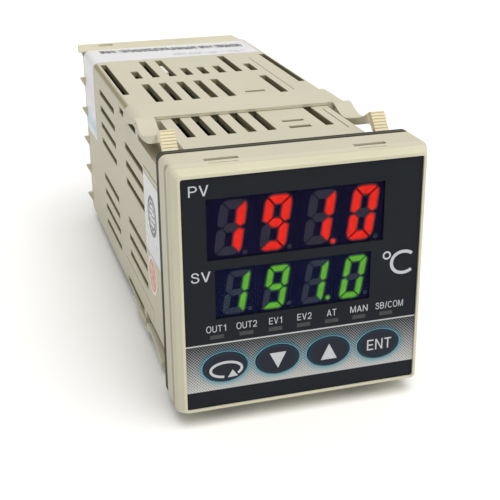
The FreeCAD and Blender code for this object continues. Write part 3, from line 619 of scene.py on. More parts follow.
KEYS = {"mode": -15.0, "down": -5.0, "up": 5.0, "enter": 15.0}
ASSIGN = {
    "case_housing": M_CASE, "panel_gasket": M_GASKET, "terminal_block": M_TERM, "terminal_contacts": M_BRASS,
    "terminal_clamps": M_STEEL, "terminal_screws": M_STEEL, "rating_label": M_LABEL, "side_label": M_SIDE,
    "inspection_seal": M_SEAL, "front_frame": M_FRAME, "frame_seal": M_SEALRUB, "front_overlay": M_OVERLAY,
    "display_windows": M_WINDOW, "indicator_light_pipes": M_PIPE, "pv_digit_modules": M_MODULE,
    "sv_digit_modules": M_MODULE, "indicator_leds": M_LED, "display_board": M_BOARD, "tact_switches": M_BLACKP,
    "main_board": M_BOARD, "output_board": M_BOARD, "power_board": M_BOARD, "board_headers": M_BLACKP,
    "microcontroller": M_CHIP, "signal_chips": M_CHIP, "crystal": M_CAN, "small_capacitors": M_SLEEVE,
    "bulk_capacitor": M_SLEEVE, "transformer_core": M_FERRITE, "transformer_winding": M_TAPE,
    "output_relays": M_RELAY, "sensor_connector": M_WHITE, "power_fuse": M_CERAMICW, "surge_varistor": M_VARISTOR,
    "power_transistor": M_CHIP, "bridge_rectifier": M_CHIP, "optocouplers": M_CHIP, "common_mode_choke": M_FERRITE,
    "upper_bracket": M_BRACKET, "lower_bracket": M_BRACKET,
}
for k, cx in KEYS.items():
    ASSIGN[k + "_key"] = make_key(k + "_key_top", cx)
    ASSIGN[k + "_plunger"] = M_NYLONB
for n, o in NODES.items():
    mat = ASSIGN[n]
    if not o.material_slots:
        o.data.materials.append(mat)
    for s in o.material_slots:
        s.material = mat


# ===========================================================================
# Geometry helpers (millimetres in, metres out)
# ===========================================================================
class Build:
    def __init__(self):
        self.v, self.f, self.mi = [], [], []

    def raw(self, verts, faces, mi=0):
        o = len(self.v)
        self.v += [tuple(p) for p in verts]
        self.f += [tuple(i + o for i in q) for q in faces]
        self.mi += [mi] * len(faces)

    def box(self, T, u0, u1, v0, v1, w0, w1, mi=0, b=0.0):
        """Box in local coordinates with chamfer b."""
        U, W_, Q = (u0, u1), (v0, v1), (w0, w1)
        if b <= 0:
            vs = [T(U[i], W_[j], Q[k]) for i in (0, 1) for j in (0, 1) for k in (0, 1)]
            fs = [(0, 1, 3, 2), (4, 6, 7, 5), (0, 4, 5, 1), (2, 3, 7, 6), (0, 2, 6, 4), (1, 5, 7, 3)]
            self.raw(vs, fs, mi)
            return
        b = min(b, 0.45 * (u1 - u0), 0.45 * (v1 - v0), 0.45 * (w1 - w0))
        vs, idx = [], {}
        for i in (0, 1):
            for j in (0, 1):
                for k in (0, 1):
                    a, c, d = U[i], W_[j], Q[k]
                    ia, ic, id_ = a + (b if i == 0 else -b), c + (b if j == 0 else -b), d + (b if k == 0 else -b)
                    for ax, p in enumerate(((a, ic, id_), (ia, c, id_), (ia, ic, d))):
                        idx[(i, j, k, ax)] = len(vs)
                        vs.append(T(*p))
        fs = []
        for s in (0, 1):
            fs.append([idx[(s, j, k, 0)] for j, k in ((0, 0), (1, 0), (1, 1), (0, 1))])
            fs.append([idx[(i, s, k, 1)] for i, k in ((0, 0), (1, 0), (1, 1), (0, 1))])
            fs.append([idx[(i, j, s, 2)] for i, j in ((0, 0), (1, 0), (1, 1), (0, 1))])
        for p in (0, 1):
            for q in (0, 1):
                fs.append([idx[(0, p, q, 1)], idx[(1, p, q, 1)], idx[(1, p, q, 2)], idx[(0, p, q, 2)]])
                fs.append([idx[(p, 0, q, 0)], idx[(p, 1, q, 0)], idx[(p, 1, q, 2)], idx[(p, 0, q, 2)]])
                fs.append([idx[(p, q, 0, 0)], idx[(p, q, 1, 0)], idx[(p, q, 1, 1)], idx[(p, q, 0, 1)]])
        for i in (0, 1):
            for j in (0, 1):
                for k in (0, 1):
                    fs.append([idx[(i, j, k, 0)], idx[(i, j, k, 1)], idx[(i, j, k, 2)]])
        self.raw(vs, fs, mi)

    def lathe(self, T, prof, n=20, mi=0, cu=0.0, cv=0.0):
        """Revolves (radius, height) about the local w axis through (cu, cv)."""
        vs, fs, rings = [], [], []
        for r, h in prof:
            if r < 1e-6:
                rings.append([len(vs)])
                vs.append(T(cu, cv, h))
            else:
                ring = []
                for i in range(n):
                    a = 2 * math.pi * i / n
                    ring.append(len(vs))
                    vs.append(T(cu + r * math.cos(a), cv + r * math.sin(a), h))
                rings.append(ring)
        for a, b in zip(rings, rings[1:]):
            for i in range(n):
                j = (i + 1) % n
                if len(a) == 1 and len(b) == 1:
                    continue
                if len(a) == 1:
                    fs.append((a[0], b[i], b[j]))
                elif len(b) == 1:
                    fs.append((a[i], a[j], b[0]))
                else:
                    fs.append((a[i], a[j], b[j], b[i]))
        if len(rings[0]) > 1:
            fs.append(tuple(rings[0]))
        if len(rings[-1]) > 1:
            fs.append(tuple(reversed(rings[-1])))
        self.raw(vs, fs, mi)

    def tube(self, pts, r, n=8, mi=0):
        """Round wire along points given in the frame."""
        P = [Vector(p) for p in pts]
        vs, fs, rings = [], [], []
        prev = None
        for i, p in enumerate(P):
            d = (P[min(i + 1, len(P) - 1)] - P[max(i - 1, 0)]).normalized()
            if prev is None:
                ref = Vector((0, 0, 1)) if abs(d.z) < 0.9 else Vector((1, 0, 0))
                a = d.cross(ref).normalized()
            else:
                a = (prev - d * prev.dot(d)).normalized()
            prev = a
            c = d.cross(a)
            ring = []
            for k in range(n):
                t = 2 * math.pi * k / n
                ring.append(len(vs))
                vs.append(tuple(p + (a * math.cos(t) + c * math.sin(t)) * r))
            rings.append(ring)
        for a, b in zip(rings, rings[1:]):
            for i in range(n):
                j = (i + 1) % n
                fs.append((a[i], a[j], b[j], b[i]))
        fs.append(tuple(rings[0]))
        fs.append(tuple(reversed(rings[-1])))
        self.raw(vs, fs, mi)

    def prism(self, T, outer, holes, w0, w1, mi=0):
        """Closed prism of a flat outline with holes."""
        loops = [outer] + list(holes)
        flat = [p for l in loops for p in l]
        tri = tessellate_polygon([[Vector((p[0], p[1], 0)) for p in l] for l in loops])
        n = len(flat)
        vs = [T(p[0], p[1], w0) for p in flat] + [T(p[0], p[1], w1) for p in flat]
        fs = [tuple(t) for t in tri] + [tuple(i + n for i in reversed(t)) for t in tri]
        o = 0
        for l in loops:
            m = len(l)
            for i in range(m):
                j = (i + 1) % m
                fs.append((o + i, o + j, n + o + j, n + o + i))
            o += m
        self.raw(vs, fs, mi)

    def pillow(self, T, outer, inner, w0, w1, w2, mi=0):
        """Closed plate with a sloping border: outline `outer` up to w1, then in to `inner` at w2."""
        n = len(outer)
        vs = [T(p[0], p[1], w0) for p in outer] + [T(p[0], p[1], w1) for p in outer] + [T(p[0], p[1], w2) for p in inner]
        fs = [tuple(range(n)), tuple(range(3 * n - 1, 2 * n - 1, -1))]
        for i in range(n):
            j = (i + 1) % n
            fs.append((i, j, n + j, n + i))
            fs.append((n + i, n + j, 2 * n + j, 2 * n + i))
        self.raw(vs, fs, mi)

    def done(self, name, body, mats, slot=None, angle=32.0):
        me = bpy.data.meshes.new(name)
        me.from_pydata([(a * MM, b * MM, c * MM) for a, b, c in self.v], [], self.f)
        for m in mats:
            me.materials.append(m)
        me.polygons.foreach_set("material_index", self.mi)
        bm = bmesh.new()
        bm.from_mesh(me)
        bmesh.ops.remove_doubles(bm, verts=bm.verts, dist=1e-7)
        bmesh.ops.recalc_face_normals(bm, faces=bm.faces)
        bm.to_mesh(me)
        bm.free()
        me.polygons.foreach_set("use_smooth", [True] * len(me.polygons))
        me.set_sharp_from_angle(angle=math.radians(angle))
        o = bpy.data.objects.new(name, me)
        scene.collection.objects.link(o)
        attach(o, body)
        return o


def front(y):
    """Local u, v, w to the frame on a plane that faces the front: w stands proud of y."""
    return lambda u, v, w: (u, y - w, v)


def back(y):
    return lambda u, v, w: (u, y + w, v)


def side(x, s):
    """On a board face at x whose outward normal is s along X: u is y, v is z."""
    return lambda u, v, w: (x + s * w, u, v)


# --- outlines ---------------------------------------------------------------
def arc(cx, cy, rx, ry, a0, a1, n=14, p=2.0):
    out = []
    for i in range(n + 1):
        a = math.radians(a0 + (a1 - a0) * i / n)
        c, s = math.cos(a), math.sin(a)
        k = 2.0 / p
        out.append((cx + rx * math.copysign(abs(c) ** k, c), cy + ry * math.copysign(abs(s) ** k, s)))
    return out


def ribbon(path, w):
    """Outline of a stroke of width w along a path, with square ends."""
    L, R = [], []
    n = len(path)
    for i, p in enumerate(path):
        a = path[max(i - 1, 0)]
        b = path[min(i + 1, n - 1)]
        dx, dy = b[0] - a[0], b[1] - a[1]
        d = math.hypot(dx, dy) or 1.0
        nx, ny = -dy / d, dx / d
        k = 1.0
        if 0 < i < n - 1:
            e0 = (p[0] - a[0], p[1] - a[1])
            e1 = (b[0] - p[0], b[1] - p[1])
            l0, l1 = math.hypot(*e0) or 1.0, math.hypot(*e1) or 1.0
            c = (e0[0] * e1[0] + e0[1] * e1[1]) / (l0 * l1)
            k = 1.0 / max(0.5, math.sqrt(max(0.0, (1 + c) / 2)))
        L.append((p[0] + nx * w / 2 * k, p[1] + ny * w / 2 * k))
        R.append((p[0] - nx * w / 2 * k, p[1] - ny * w / 2 * k))
    return L + R[::-1]


def spline(P, n=7):
    """Catmull-Rom curve through P."""
    out = []
    for i in range(len(P) - 1):
        p0, p1, p2, p3 = P[max(i - 1, 0)], P[i], P[i + 1], P[min(i + 2, len(P) - 1)]
        for k in range(n):
            t = k / n
            q = []
            for c in (0, 1):
                q.append(0.5 * (2 * p1[c] + (p2[c] - p0[c]) * t + (2 * p0[c] - 5 * p1[c] + 4 * p2[c] - p3[c]) * t * t
                                + (3 * p1[c] - p0[c] - 3 * p2[c] + p3[c]) * t ** 3))
            out.append(tuple(q))
    out.append(P[-1])
    return out


def glyph(ch, s):
    """Sans capital of height 1 with stroke s: (advance, [(outline, holes)])."""
    if ch == "E":
        w = 0.60
        return w, [([(0, 0), (w, 0), (w, s), (s, s), (s, .5 - s / 2), (w - .05, .5 - s / 2), (w - .05, .5 + s / 2),
                     (s, .5 + s / 2), (s, 1 - s), (w - .01, 1 - s), (w - .01, 1), (0, 1)], [])]
    if ch == "T":
        w = 0.64
        return w, [([(w / 2 - s / 2, 0), (w / 2 + s / 2, 0), (w / 2 + s / 2, 1 - s), (w, 1 - s), (w, 1), (0, 1),
                     (0, 1 - s), (w / 2 - s / 2, 1 - s)], [])]
    if ch in "VA":
        w, a, b = 0.72, s * 0.56, s * 1.12
        c = 1 - (w / 2 - b) / (w / 2 - a)
        if ch == "V":
            return w, [([(w / 2 - a, 0), (w / 2 + a, 0), (w, 1), (w - b, 1), (w / 2, c), (b, 1), (0, 1)], [])]
        y1, y2 = 0.25, 0.25 + s * 0.95
        x1, x2 = b + (w / 2 - a) * y1, b + (w / 2 - a) * y2
        return w, [([(0, 0), (b, 0), (x1, y1), (w - x1, y1), (w - b, 0), (w, 0), (w / 2 + a, 1), (w / 2 - a, 1)],
                    [[(x2, y2), (w / 2, 1 - c), (w - x2, y2)]])]
    if ch == "M":
        w, d, e = 0.82, s * 0.5, s * 1.35
        q = 1 - (w / 2 - e) * 0.8 / (w / 2 - d - s)
        return w, [([(0, 0), (s, 0), (s, .8), (w / 2 - d, 0), (w / 2 + d, 0), (w - s, .8), (w - s, 0), (w, 0), (w, 1),
                     (w - e, 1), (w / 2, q), (e, 1), (0, 1)], [])]
    if ch == "N":
        w = 0.70
        return w, [([(0, 0), (s, 0), (s, .80), (w - s * 1.1, 0), (w, 0), (w, 1), (w - s, 1), (w - s, .2), (s * 1.1, 1),
                     (0, 1)], [])]
    if ch == "1":
        x = 0.42
        return 0.50, [([(x - s, 0), (x, 0), (x, 1), (x - .09, 1), (x - .16, .87), (x - .34, .80), (x - .34, .71),
                        (x - s, .71)], [])]
    if ch == "2":
        path = arc(.30, .70, .235, .30 - s / 2, 172, -20, 14) + [(.49, .48), (.38, .35), (.22, .24), (.10, .13), (.075, s)]
        return 0.60, [(ribbon(path, s), []), ([(0, 0), (.58, 0), (.58, s), (0, s)], [])]
    if ch == "/":
        return 0.34, [([(0, -.03), (s, -.03), (.34, 1.03), (.34 - s, 1.03)], [])]
    if ch == "O":
        o = arc(.38, .5, .38, .515, 0, 360, 40, 2.25)[:-1]
        i = arc(.38, .5, .38 - s, .515 - s, 0, 360, 40, 2.25)[:-1]
        return 0.76, [(o, [i])]
    if ch == "C":
        return 0.72, [(ribbon(arc(.38, .5, .38 - s / 2, .515 - s / 2, 40, 320, 34, 2.15), s), [])]
    if ch == "U":
        w = 0.66
        path = [(s / 2, 1)] + arc(w / 2, .34, w / 2 - s / 2, .355 - s / 2, 180, 360, 18, 2.2) + [(w - s / 2, 1)]
        return w, [(ribbon(path, s), [])]
    if ch == "S":
        P = [(.555, .70), (.52, .83), (.41, .925), (.31, .945), (.17, .905), (.095, .80), (.11, .67), (.20, .59),
             (.34, .54), (.48, .475), (.565, .385), (.575, .26), (.51, .13), (.40, .068), (.30, .055), (.17, .085),
             (.085, .18), (.06, .30)]
        return 0.64, [(ribbon(spline(P, 4), s), [])]
    if ch == "P":
        r = 0.29
        o = [(0, 0), (s, 0), (s, 1 - 2 * r)] + arc(.35, 1 - r, r * 1.02, r, -90, 90, 16) + [(0, 1)]
        i = [(s, 1 - 2 * r + s)] + arc(.35, 1 - r, r * 1.02 - s, r - s, -90, 90, 14) + [(s, 1 - s)]
        return 0.64, [(o, [i])]
    if ch == "B":
        mid = 0.46
        rl, ru = (mid + s) / 2, (1 - mid) / 2
        o = [(0, 0)] + arc(.36, rl, .31, rl, -90, 52, 14) + arc(.34, 1 - ru, .285, ru, -48, 90, 14) + [(0, 1)]
        i1 = [(s, s)] + arc(.36, rl, .31 - s, rl - s, -90, 90, 12) + [(s, mid)]
        i2 = [(s, mid + s)] + arc(.34, 1 - ru, .285 - s, ru - s, -90, 90, 12) + [(s, 1 - s)]
        return 0.67, [(o, [i1, i2])]
    raise ValueError(ch)


def text(B, T, word, cx, base, h, w_total=None, s=0.13, gap=0.13, kx=1.0, mi=0, w0=0.0, w1=0.02):
    """Lays a word out, centred on cx, with cap height h; w_total squeezes it to a width."""
    glyphs = [glyph(c, s) for c in word]
    adv = sum(g[0] for g in glyphs) + gap * (len(word) - 1)
    k = (w_total / (adv * h)) if w_total else kx
    x = cx - adv * h * k / 2
    for a, polys in glyphs:
        for outer, holes in polys:
            f = lambda p: (x + p[0] * h * k, base + p[1] * h)
            B.prism(T, [f(p) for p in outer], [[f(p) for p in hl] for hl in holes], w0, w1, mi)
        x += (a + gap) * h * k


# ===========================================================================
# Front: printed lettering
# ===========================================================================
x0, x1, y0, y1, z0, z1 = nb("front_overlay")
OVY = y0
TF = front(OVY)
B = Build()
text(B, TF, "PV", -19.1, 18.78, 1.93, 3.55, s=0.115)
text(B, TF, "SV", -19.1, 2.88, 1.93, 3.55, s=0.115)
ring_o = arc(16.0, 3.54, .82, .82, 0, 360, 32)[:-1]
ring_i = arc(16.0, 3.54, .50, .50, 0, 360, 28)[:-1]
B.prism(TF, ring_o, [ring_i], 0, 0.02)
B.prism(TF, ribbon(arc(19.35, 1.85, 2.35, 2.42 - 0.31, 47, 313, 36, 2.1), 0.62), [], 0, 0.02)
for word, cx, w in (("OUT1", -16.5, 3.75), ("OUT2", -10.85, 3.85), ("EV1", -5.35, 2.55), ("EV2", .15, 2.75),
                    ("AT", 5.45, 1.85), ("MAN", 10.85, 3.45), ("SB/COM", 16.95, 5.55)):
    text(B, TF, word, cx, -7.14, 1.30, w, s=0.108, gap=0.15)
B.done("front_lettering", "chassis", [M_INK], "overlay_film")

# key symbols
KY = nb("mode_key")[2]
TK = front(KY)
B = Build()
# return arrow: an open ellipse with an arrow head at its lower right
cx, cz = -14.88, -14.86
B.prism(TK, ribbon(arc(cx, cz, 2.95, 1.47, -42, 262, 52), 0.50), [], 0, 0.02)
B.prism(TK, [(-14.62, -16.56), (-12.70, -16.42), (-13.68, -15.06)], [], 0, 0.02)
B.done("mode_symbol", "mode_key", [M_INK], "key_top")
B = Build()
B.prism(TK, [(-6.6, -12.95), (-5.0, -16.15), (-3.4, -12.95)], [], 0, 0.02)
B.done("down_symbol", "down_key", [M_INK], "key_top")
B = Build()
B.prism(TK, [(3.4, -15.95), (6.6, -15.95), (5.0, -12.75)], [], 0, 0.02)
B.done("up_symbol", "up_key", [M_INK], "key_top")
B = Build()
text(B, TK, "ENT", 15.1, -15.45, 2.2, 4.9, s=0.125, gap=0.17)
B.done("enter_symbol", "enter_key", [M_INK], "key_top")


# ===========================================================================
# Seven-segment digits
# ===========================================================================
def clip_top(poly, v):
    """Cuts a convex outline off above height v, which blunts the tip of a segment."""
    out = []
    for i, b in enumerate(poly):
        a = poly[i - 1]
        if (a[1] > v) != (b[1] > v):
            f = (v - a[1]) / (b[1] - a[1])
            out.append((a[0] + (b[0] - a[0]) * f, v))
        if b[1] <= v:
            out.append(b)
    return out


def segments(W, H, t, g):
    """Outlines of the seven segments of an upright digit, with rounded outer corners."""
    h2, R = H / 2, 0.95 * t

    def corner(cx, cz, a0, a1, n=5):
        return [(cx + R * math.cos(math.radians(a0 + (a1 - a0) * i / n)), cz + R * math.sin(math.radians(a0 + (a1 - a0) * i / n))) for i in range(n + 1)]

    q = math.degrees(g * .5 / R)
    top = corner(W - R, H - R, 90, 45 + q) + [(W - t - g * .7, H - t)] + [(t + g * .7, H - t)] + corner(R, H - R, 135 - q, 90)
    ur = corner(W - R, H - R, 45 - q, 0) + [(W, h2 + g * .55 + t * .30), (W - t / 2, h2 + g * .55), (W - t, h2 + t / 2 + g * .6), (W - t, H - t - g * .7)]
    mid = [(t / 2 + g, h2), (t + g * .8, h2 + t / 2), (W - t - g * .8, h2 + t / 2), (W - t / 2 - g, h2), (W - t - g * .8, h2 - t / 2), (t + g * .8, h2 - t / 2)]
    ur = clip_top(ur, H - 0.30 * t)
    return {"a": top, "b": ur, "f": [(W - u, v) for u, v in ur], "g": mid,
            "d": [(u, H - v) for u, v in top], "c": [(u, H - v) for u, v in ur], "e": [(W - u, H - v) for u, v in ur]}


def shrink(poly, d):
    """Moves every side of a convex outline inwards by d."""
    n = len(poly)
    area2 = sum(poly[i][0] * poly[(i + 1) % n][1] - poly[(i + 1) % n][0] * poly[i][1] for i in range(n))
    sg = 1.0 if area2 > 0 else -1.0
    lines = []
    for i in range(n):
        (ax_, ay_), (bx_, by_) = poly[i], poly[(i + 1) % n]
        L = math.hypot(bx_ - ax_, by_ - ay_)
        nx_, ny_ = -sg * (by_ - ay_) / L, sg * (bx_ - ax_) / L
        lines.append((nx_, ny_, nx_ * ax_ + ny_ * ay_ + d))
    out = []
    for i in range(n):
        a1, b1_, c1 = lines[i - 1]
        a2, b2_, c2 = lines[i]
        det = a1 * b2_ - a2 * b1_
        if abs(det) < 1e-6:
            out.append((poly[i][0] + a1 * d, poly[i][1] + b1_ * d))
        else:
            out.append(((c1 * b2_ - c2 * b1_) / det, (a1 * c2 - a2 * c1) / det))
    return out


LIT = {"1": "bc", "9": "abcdfg", "0": "abcdef"}


def display(tag, node, xs, zb, W, H, t, g, slant, word, lit_mat, off_mat, glow_halo_mat, dots, dot_r):
    y = nb(node)[2]
    T = front(y)
    on, off, glow_halo = Build(), Build(), Build()
    segs = segments(W, H, t, g)
    for i, ch in enumerate(word):
        for k, poly in segs.items():
            pts = [(xs[i] + p[0] + p[1] * slant, zb + p[1]) for p in poly]
            if k in LIT[ch]:
                # a lit segment: the light pipe is brightest along its middle and falls off at its sloping edge
                on.pillow(T, pts, shrink(pts, 0.17 * t), 0.012, 0.035, 0.06)
                # painted glow: a dim halo of the segment's colour, 0.26 mm wider than the lit segment, for its light
                # spilling onto the window
                glow_halo.prism(T, shrink(pts, -0.26), [], 0.0, 0.012)
            else:
                off.prism(T, pts, [], 0.0, 0.03)
    for i, (dx, dz) in enumerate(dots):
        if i == 2:
            on.lathe(T, [(dot_r, 0.012), (dot_r, 0.035), (dot_r * .7, 0.06)], 20, 0, dx, dz)
            # painted glow round the lit dot
            glow_halo.lathe(T, [(dot_r + .26, 0.0), (dot_r + .26, 0.012)], 20, 0, dx, dz)
        else:
            off.lathe(T, [(dot_r, 0.0), (dot_r, 0.025), (dot_r * .85, 0.03)], 20, 0, dx, dz)
    on.done(tag + "_segments_lit", "chassis", [lit_mat], "digit_face", 60.0)
    off.done(tag + "_segments_unlit", "chassis", [off_mat], "digit_face")
    glow_halo.done(tag + "_segment_glow_halo", "chassis", [glow_halo_mat], "digit_face")


TAN = math.tan(math.radians(9.6))
display("pv", "pv_digit_modules", [-16.65 + 8.2 * i for i in range(4)], 7.30, 4.86, 10.18, 1.66, 0.20, math.tan(math.radians(8.1)), "1910", M_RED, M_UNLIT, M_RED_GLOW_HALO,
        [(-10.9 + 8.2 * i, 7.55) for i in range(4)], 0.46)
display("sv", "sv_digit_modules", [-15.37 + 7.4 * i for i in range(4)], -4.12, 4.10, 8.30, 1.16, 0.16, TAN, "1910", M_GREEN, M_UNLIT_SV, M_GREEN_GLOW_HALO,
        [(-10.1 + 7.4 * i, -3.47) for i in range(4)], 0.40)


# ===========================================================================
# Boards: small components, legs, solder joints, printed outlines
# ===========================================================================
rnd = random.Random(16)
LEG = [(0.0, .98), (.36, .98), (.50, .86), (.62, .20), (1.15, .20), (1.15, .04), (.50, .04), (.34, .82), (0.0, .82)]
PARTS = [M_CHIP, M_TIN, M_RESISTOR, M_CERAMIC, M_SILK, M_CERAMICW, M_GOLD]


def leg(B, T, u, v, du, dv, width=0.34):
    """Gull-wing leg that leaves the body at (u, v) towards (du, dv)."""
    h = width / 2
    F = lambda a, b, w: T(u + du * a + dv * b, v + dv * a + du * b, w)
    n = len(LEG)
    vs = [F(p[0], -h, p[1]) for p in LEG] + [F(p[0], h, p[1]) for p in LEG]
    fs = [tuple((i, (i + 1) % n, n + (i + 1) % n, n + i)) for i in range(n)]
    tri = tessellate_polygon([[Vector((p[0], p[1], 0)) for p in LEG]])
    fs += [tuple(t) for t in tri] + [tuple(i + n for i in reversed(t)) for t in tri]
    B.raw(vs, fs, 1)


def smd(B, T, u, v, along_u=True, kind="r", L=1.6, W=0.82):
    hu, hv = (L / 2, W / 2) if along_u else (W / 2, L / 2)
    h = 0.45 if kind == "r" else 0.78
    mi = 2 if kind == "r" else 3
    e = 0.34
    if along_u:
        B.box(T, u - hu + e, u + hu - e, v - hv, v + hv, 0.0, h, mi, 0.04)
        B.box(T, u - hu, u - hu + e, v - hv - .02, v + hv + .02, 0.0, h + .03, 1, 0.05)
        B.box(T, u + hu - e, u + hu, v - hv - .02, v + hv + .02, 0.0, h + .03, 1, 0.05)
    else:
        B.box(T, u - hu, u + hu, v - hv + e, v + hv - e, 0.0, h, mi, 0.04)
        B.box(T, u - hu - .02, u + hu + .02, v - hv, v - hv + e, 0.0, h + .03, 1, 0.05)
        B.box(T, u - hu - .02, u + hu + .02, v + hv - e, v + hv, 0.0, h + .03, 1, 0.05)


def joint(B, T, u, v, r=0.85, lead=0.3):
    """Solder fillet with the cut end of a lead."""
    B.lathe(T, [(r, 0.0), (r * .78, .16), (r * .5, .48), (lead * 1.1, .85), (lead, 1.25), (lead * .8, 1.32), (0, 1.34)], 12, 1, u, v)


def outline(B, T, u0, u1, v0, v1, w=0.16):
    """Printed outline round a component."""
    o = [(u0, v0), (u1, v0), (u1, v1), (u0, v1)]
    i = [(u0 + w, v0 + w), (u1 - w, v0 + w), (u1 - w, v1 - w), (u0 + w, v1 - w)]
    B.prism(T, o, [i], 0.0, 0.015, 4)


bx0, bx1 = nb("main_board")[:2]
TM, TMb = side(bx1, 1), side(bx0, -1)
ox0, ox1 = nb("output_board")[:2]
TOl, TOr = side(ox0, -1), side(ox1, 1)
px0, px1 = nb("power_board")[:2]
TP, TPb = side(px0, -1), side(px1, 1)

# main board
B = Build()
for i in range(16):
    c = 22.0 + 7.0 + (i - 7.5) * 0.8
    leg(B, TM, c, 7.0, 0, 1)
    leg(B, TM, c, -7.0, 0, -1)
    leg(B, TM, 36.0, c - 29.0, 1, 0)
    leg(B, TM, 22.0, c - 29.0, -1, 0)
for a, b in ((4.0, 9.5), (-6.0, -0.5)):
    for i in range(8):
        u = 49.0 + (i - 3.5) * 1.27
        leg(B, TM, u, b, 0, 1, 0.42)
        leg(B, TM, u, a, 0, -1, 0.42)
for i in range(4):
    leg(B, TM, 63.0 + (i - 1.5) * 1.27, 6.0, 0, 1, 0.42)
    leg(B, TM, 63.0 + (i - 1.5) * 1.27, 2.0, 0, -1, 0.42)
outline(B, TM, 20.2, 37.8, -8.9, 8.9)
outline(B, TM, 42.9, 55.1, 2.2, 11.3)
outline(B, TM, 42.9, 55.1, -7.8, 1.3)
outline(B, TM, 12.7, 19.5, -3.2, 3.2)
for i in range(6):
    smd(B, TM, 40.2, -12.5 + i * 2.6, False, "r" if i % 3 else "c")
    smd(B, TM, 57.6, -13.0 + i * 2.7, False, "c" if i % 2 else "r")
for i in range(7):
    smd(B, TM, 46.0 + i * 3.1, 13.6, True, "r" if i % 2 else "c")
    smd(B, TM, 46.0 + i * 3.1, -11.2, True, "c" if i % 3 else "r")
    smd(B, TM, 46.0 + i * 3.1, -14.4, True, "r")
for i in range(5):
    smd(B, TM, 20.6 + i * 4.0, 11.4, True, "c" if i % 2 else "r")
    smd(B, TM, 71.0, -12 + i * 5.2, False, "r")
    smd(B, TM, 74.4, -10 + i * 5.2, False, "c")
for i in range(4):
    smd(B, TM, 4.6 + i * 2.4, -14.0, False, "r")
    smd(B, TM, 4.6 + i * 2.4, 4.4, False, "c" if i % 2 else "r")
    smd(B, TM, 64.0 + i * 3.0, -6.2, True, "c")
# solder side
for i in range(11):
    joint(B, TMb, -2.0, -10.0 + i * 2.0, .7, .25)
for u, v in ((14.0, 10.9), (14.0, 13.1), (28.0, -11.5), (28.0, -13.7), (36.0, -11.5), (36.0, -13.7), (16.1, 1.2), (16.1, -1.2)):
    joint(B, TMb, u, v)
for i in range(26):
    u, v = 8 + (i % 9) * 8.0 + rnd.uniform(-1, 1), (-12.5, 1.0, 14.8)[i // 9] + rnd.uniform(-1.2, 1.2)
    smd(B, TMb, u, v, i % 2 == 0, "r" if i % 3 else "c")
B.done("main_board_parts", "chassis", PARTS, "black_epoxy")

# output board
B = Build()
for a, b, y0_, y1_ in ((-8.0, -3.0, 20.0, 26.0),):
    for i in range(4):
        leg(B, TOl, 23.0 + (i - 1.5) * 1.27, b, 0, 1, 0.42)
        leg(B, TOl, 23.0 + (i - 1.5) * 1.27, a, 0, -1, 0.42)
for i in range(7):
    leg(B, TOl, 35.0 + (i - 3) * 1.27, -6.5, 0, 1, 0.42)
    leg(B, TOl, 35.0 + (i - 3) * 1.27, -12.0, 0, -1, 0.42)
for i in range(6):
    smd(B, TOl, 9.0 + i * 3.2, 6.0, True, "r" if i % 2 else "c")
    smd(B, TOl, 9.0 + i * 3.2, 10.5, True, "c" if i % 2 else "r")
    smd(B, TOl, 43.8, -12 + i * 4.6, False, "r")
    smd(B, TOl, 12.0, -14 + i * 2.8, False, "r" if i % 2 else "c")
    smd(B, TOr, 20.0 + i * 4.2, 9.0, True, "r" if i % 2 else "c")
    smd(B, TOr, 20.0 + i * 4.2, -9.0, True, "c" if i % 2 else "r")
outline(B, TOl, 46.6, 66.4, 0.6, 16.4)
outline(B, TOl, 46.6, 66.4, -16.4, -0.6)
outline(B, TOl, 32.2, 39.8, 6.3, 13.7)
outline(B, TOr, 49.4, 57.2, 2.4, 10.0)
outline(B, TOr, 49.4, 57.2, -8.6, -1.0)
for s_ in (1, -1):
    for u, v in ((49.0, 3.0), (49.0, 14.0), (58.0, 8.5), (63.6, 3.0), (63.6, 14.0)):
        joint(B, TOr, u, s_ * v, 1.0, .35)
for i in range(11):
    joint(B, TOr, -2.0, -10.0 + i * 2.0, .7, .25)
for i in range(2):
    joint(B, TOr, 36.0, 8.9 + i * 2.2)
    joint(B, TOr, 71.0 + i * 2.4, 16.8, .7, .25)
for zc in (3.0, -8.0):
    for u in (51.4, 55.2):
        for v in (zc - 0.9, zc + 7.3):
            B.box(TOr, u - .35, u + .35, v - .15, v + .15, 0.0, 2.0, 1, 0.03)
B.done("output_board_parts", "chassis", PARTS, "black_epoxy")

# power board
B = Build()
for i in range(11):
    joint(B, TPb, -2.0, -10.0 + i * 2.0, .7, .25)
for u, v in ((17.0, 10.2), (17.0, 13.8), (10.0, -8.5), (10.0, -13.5), (50.0, -12.0), (66.0, -12.0), (57.0, 8.6), (57.0, 15.4),
             (29.0, -10.5), (30.2, -13.0), (29.0, -15.5), (49.0, 1.2), (51.2, 1.2), (53.2, 1.2), (55.2, 1.2), (70.0, -6.0),
             (70.0, -12.0), (78.0, -6.0), (78.0, -12.0)):
    joint(B, TPb, u, v, .95, .35)
for i in range(5):
    joint(B, TPb, 31.0, -4.6 + i * 3.2, .8, .3)
    joint(B, TPb, 45.4, -4.6 + i * 3.2, .8, .3)
for i in range(8):
    smd(B, TPb, 20.0 + i * 6.5, 15.6 if i % 2 else 13.2, True, "r" if i % 2 else "c")
    smd(B, TP, 60.0 + i * 2.5, 16.9, False, "r" if i % 2 else "c")
for i in range(5):
    smd(B, TP, 25.0, -6 + i * 3.0, False, "r")
outline(B, TP, 29.4, 47.2, -7.1, 11.1)
outline(B, TP, 47.4, 67.6, -15.2, -8.8)
outline(B, TP, 68.0, 80.2, -14.6, -3.4)
outline(B, TP, 47.4, 56.6, -0.6, 7.1)
B.done("power_board_parts", "chassis", PARTS, "black_epoxy")

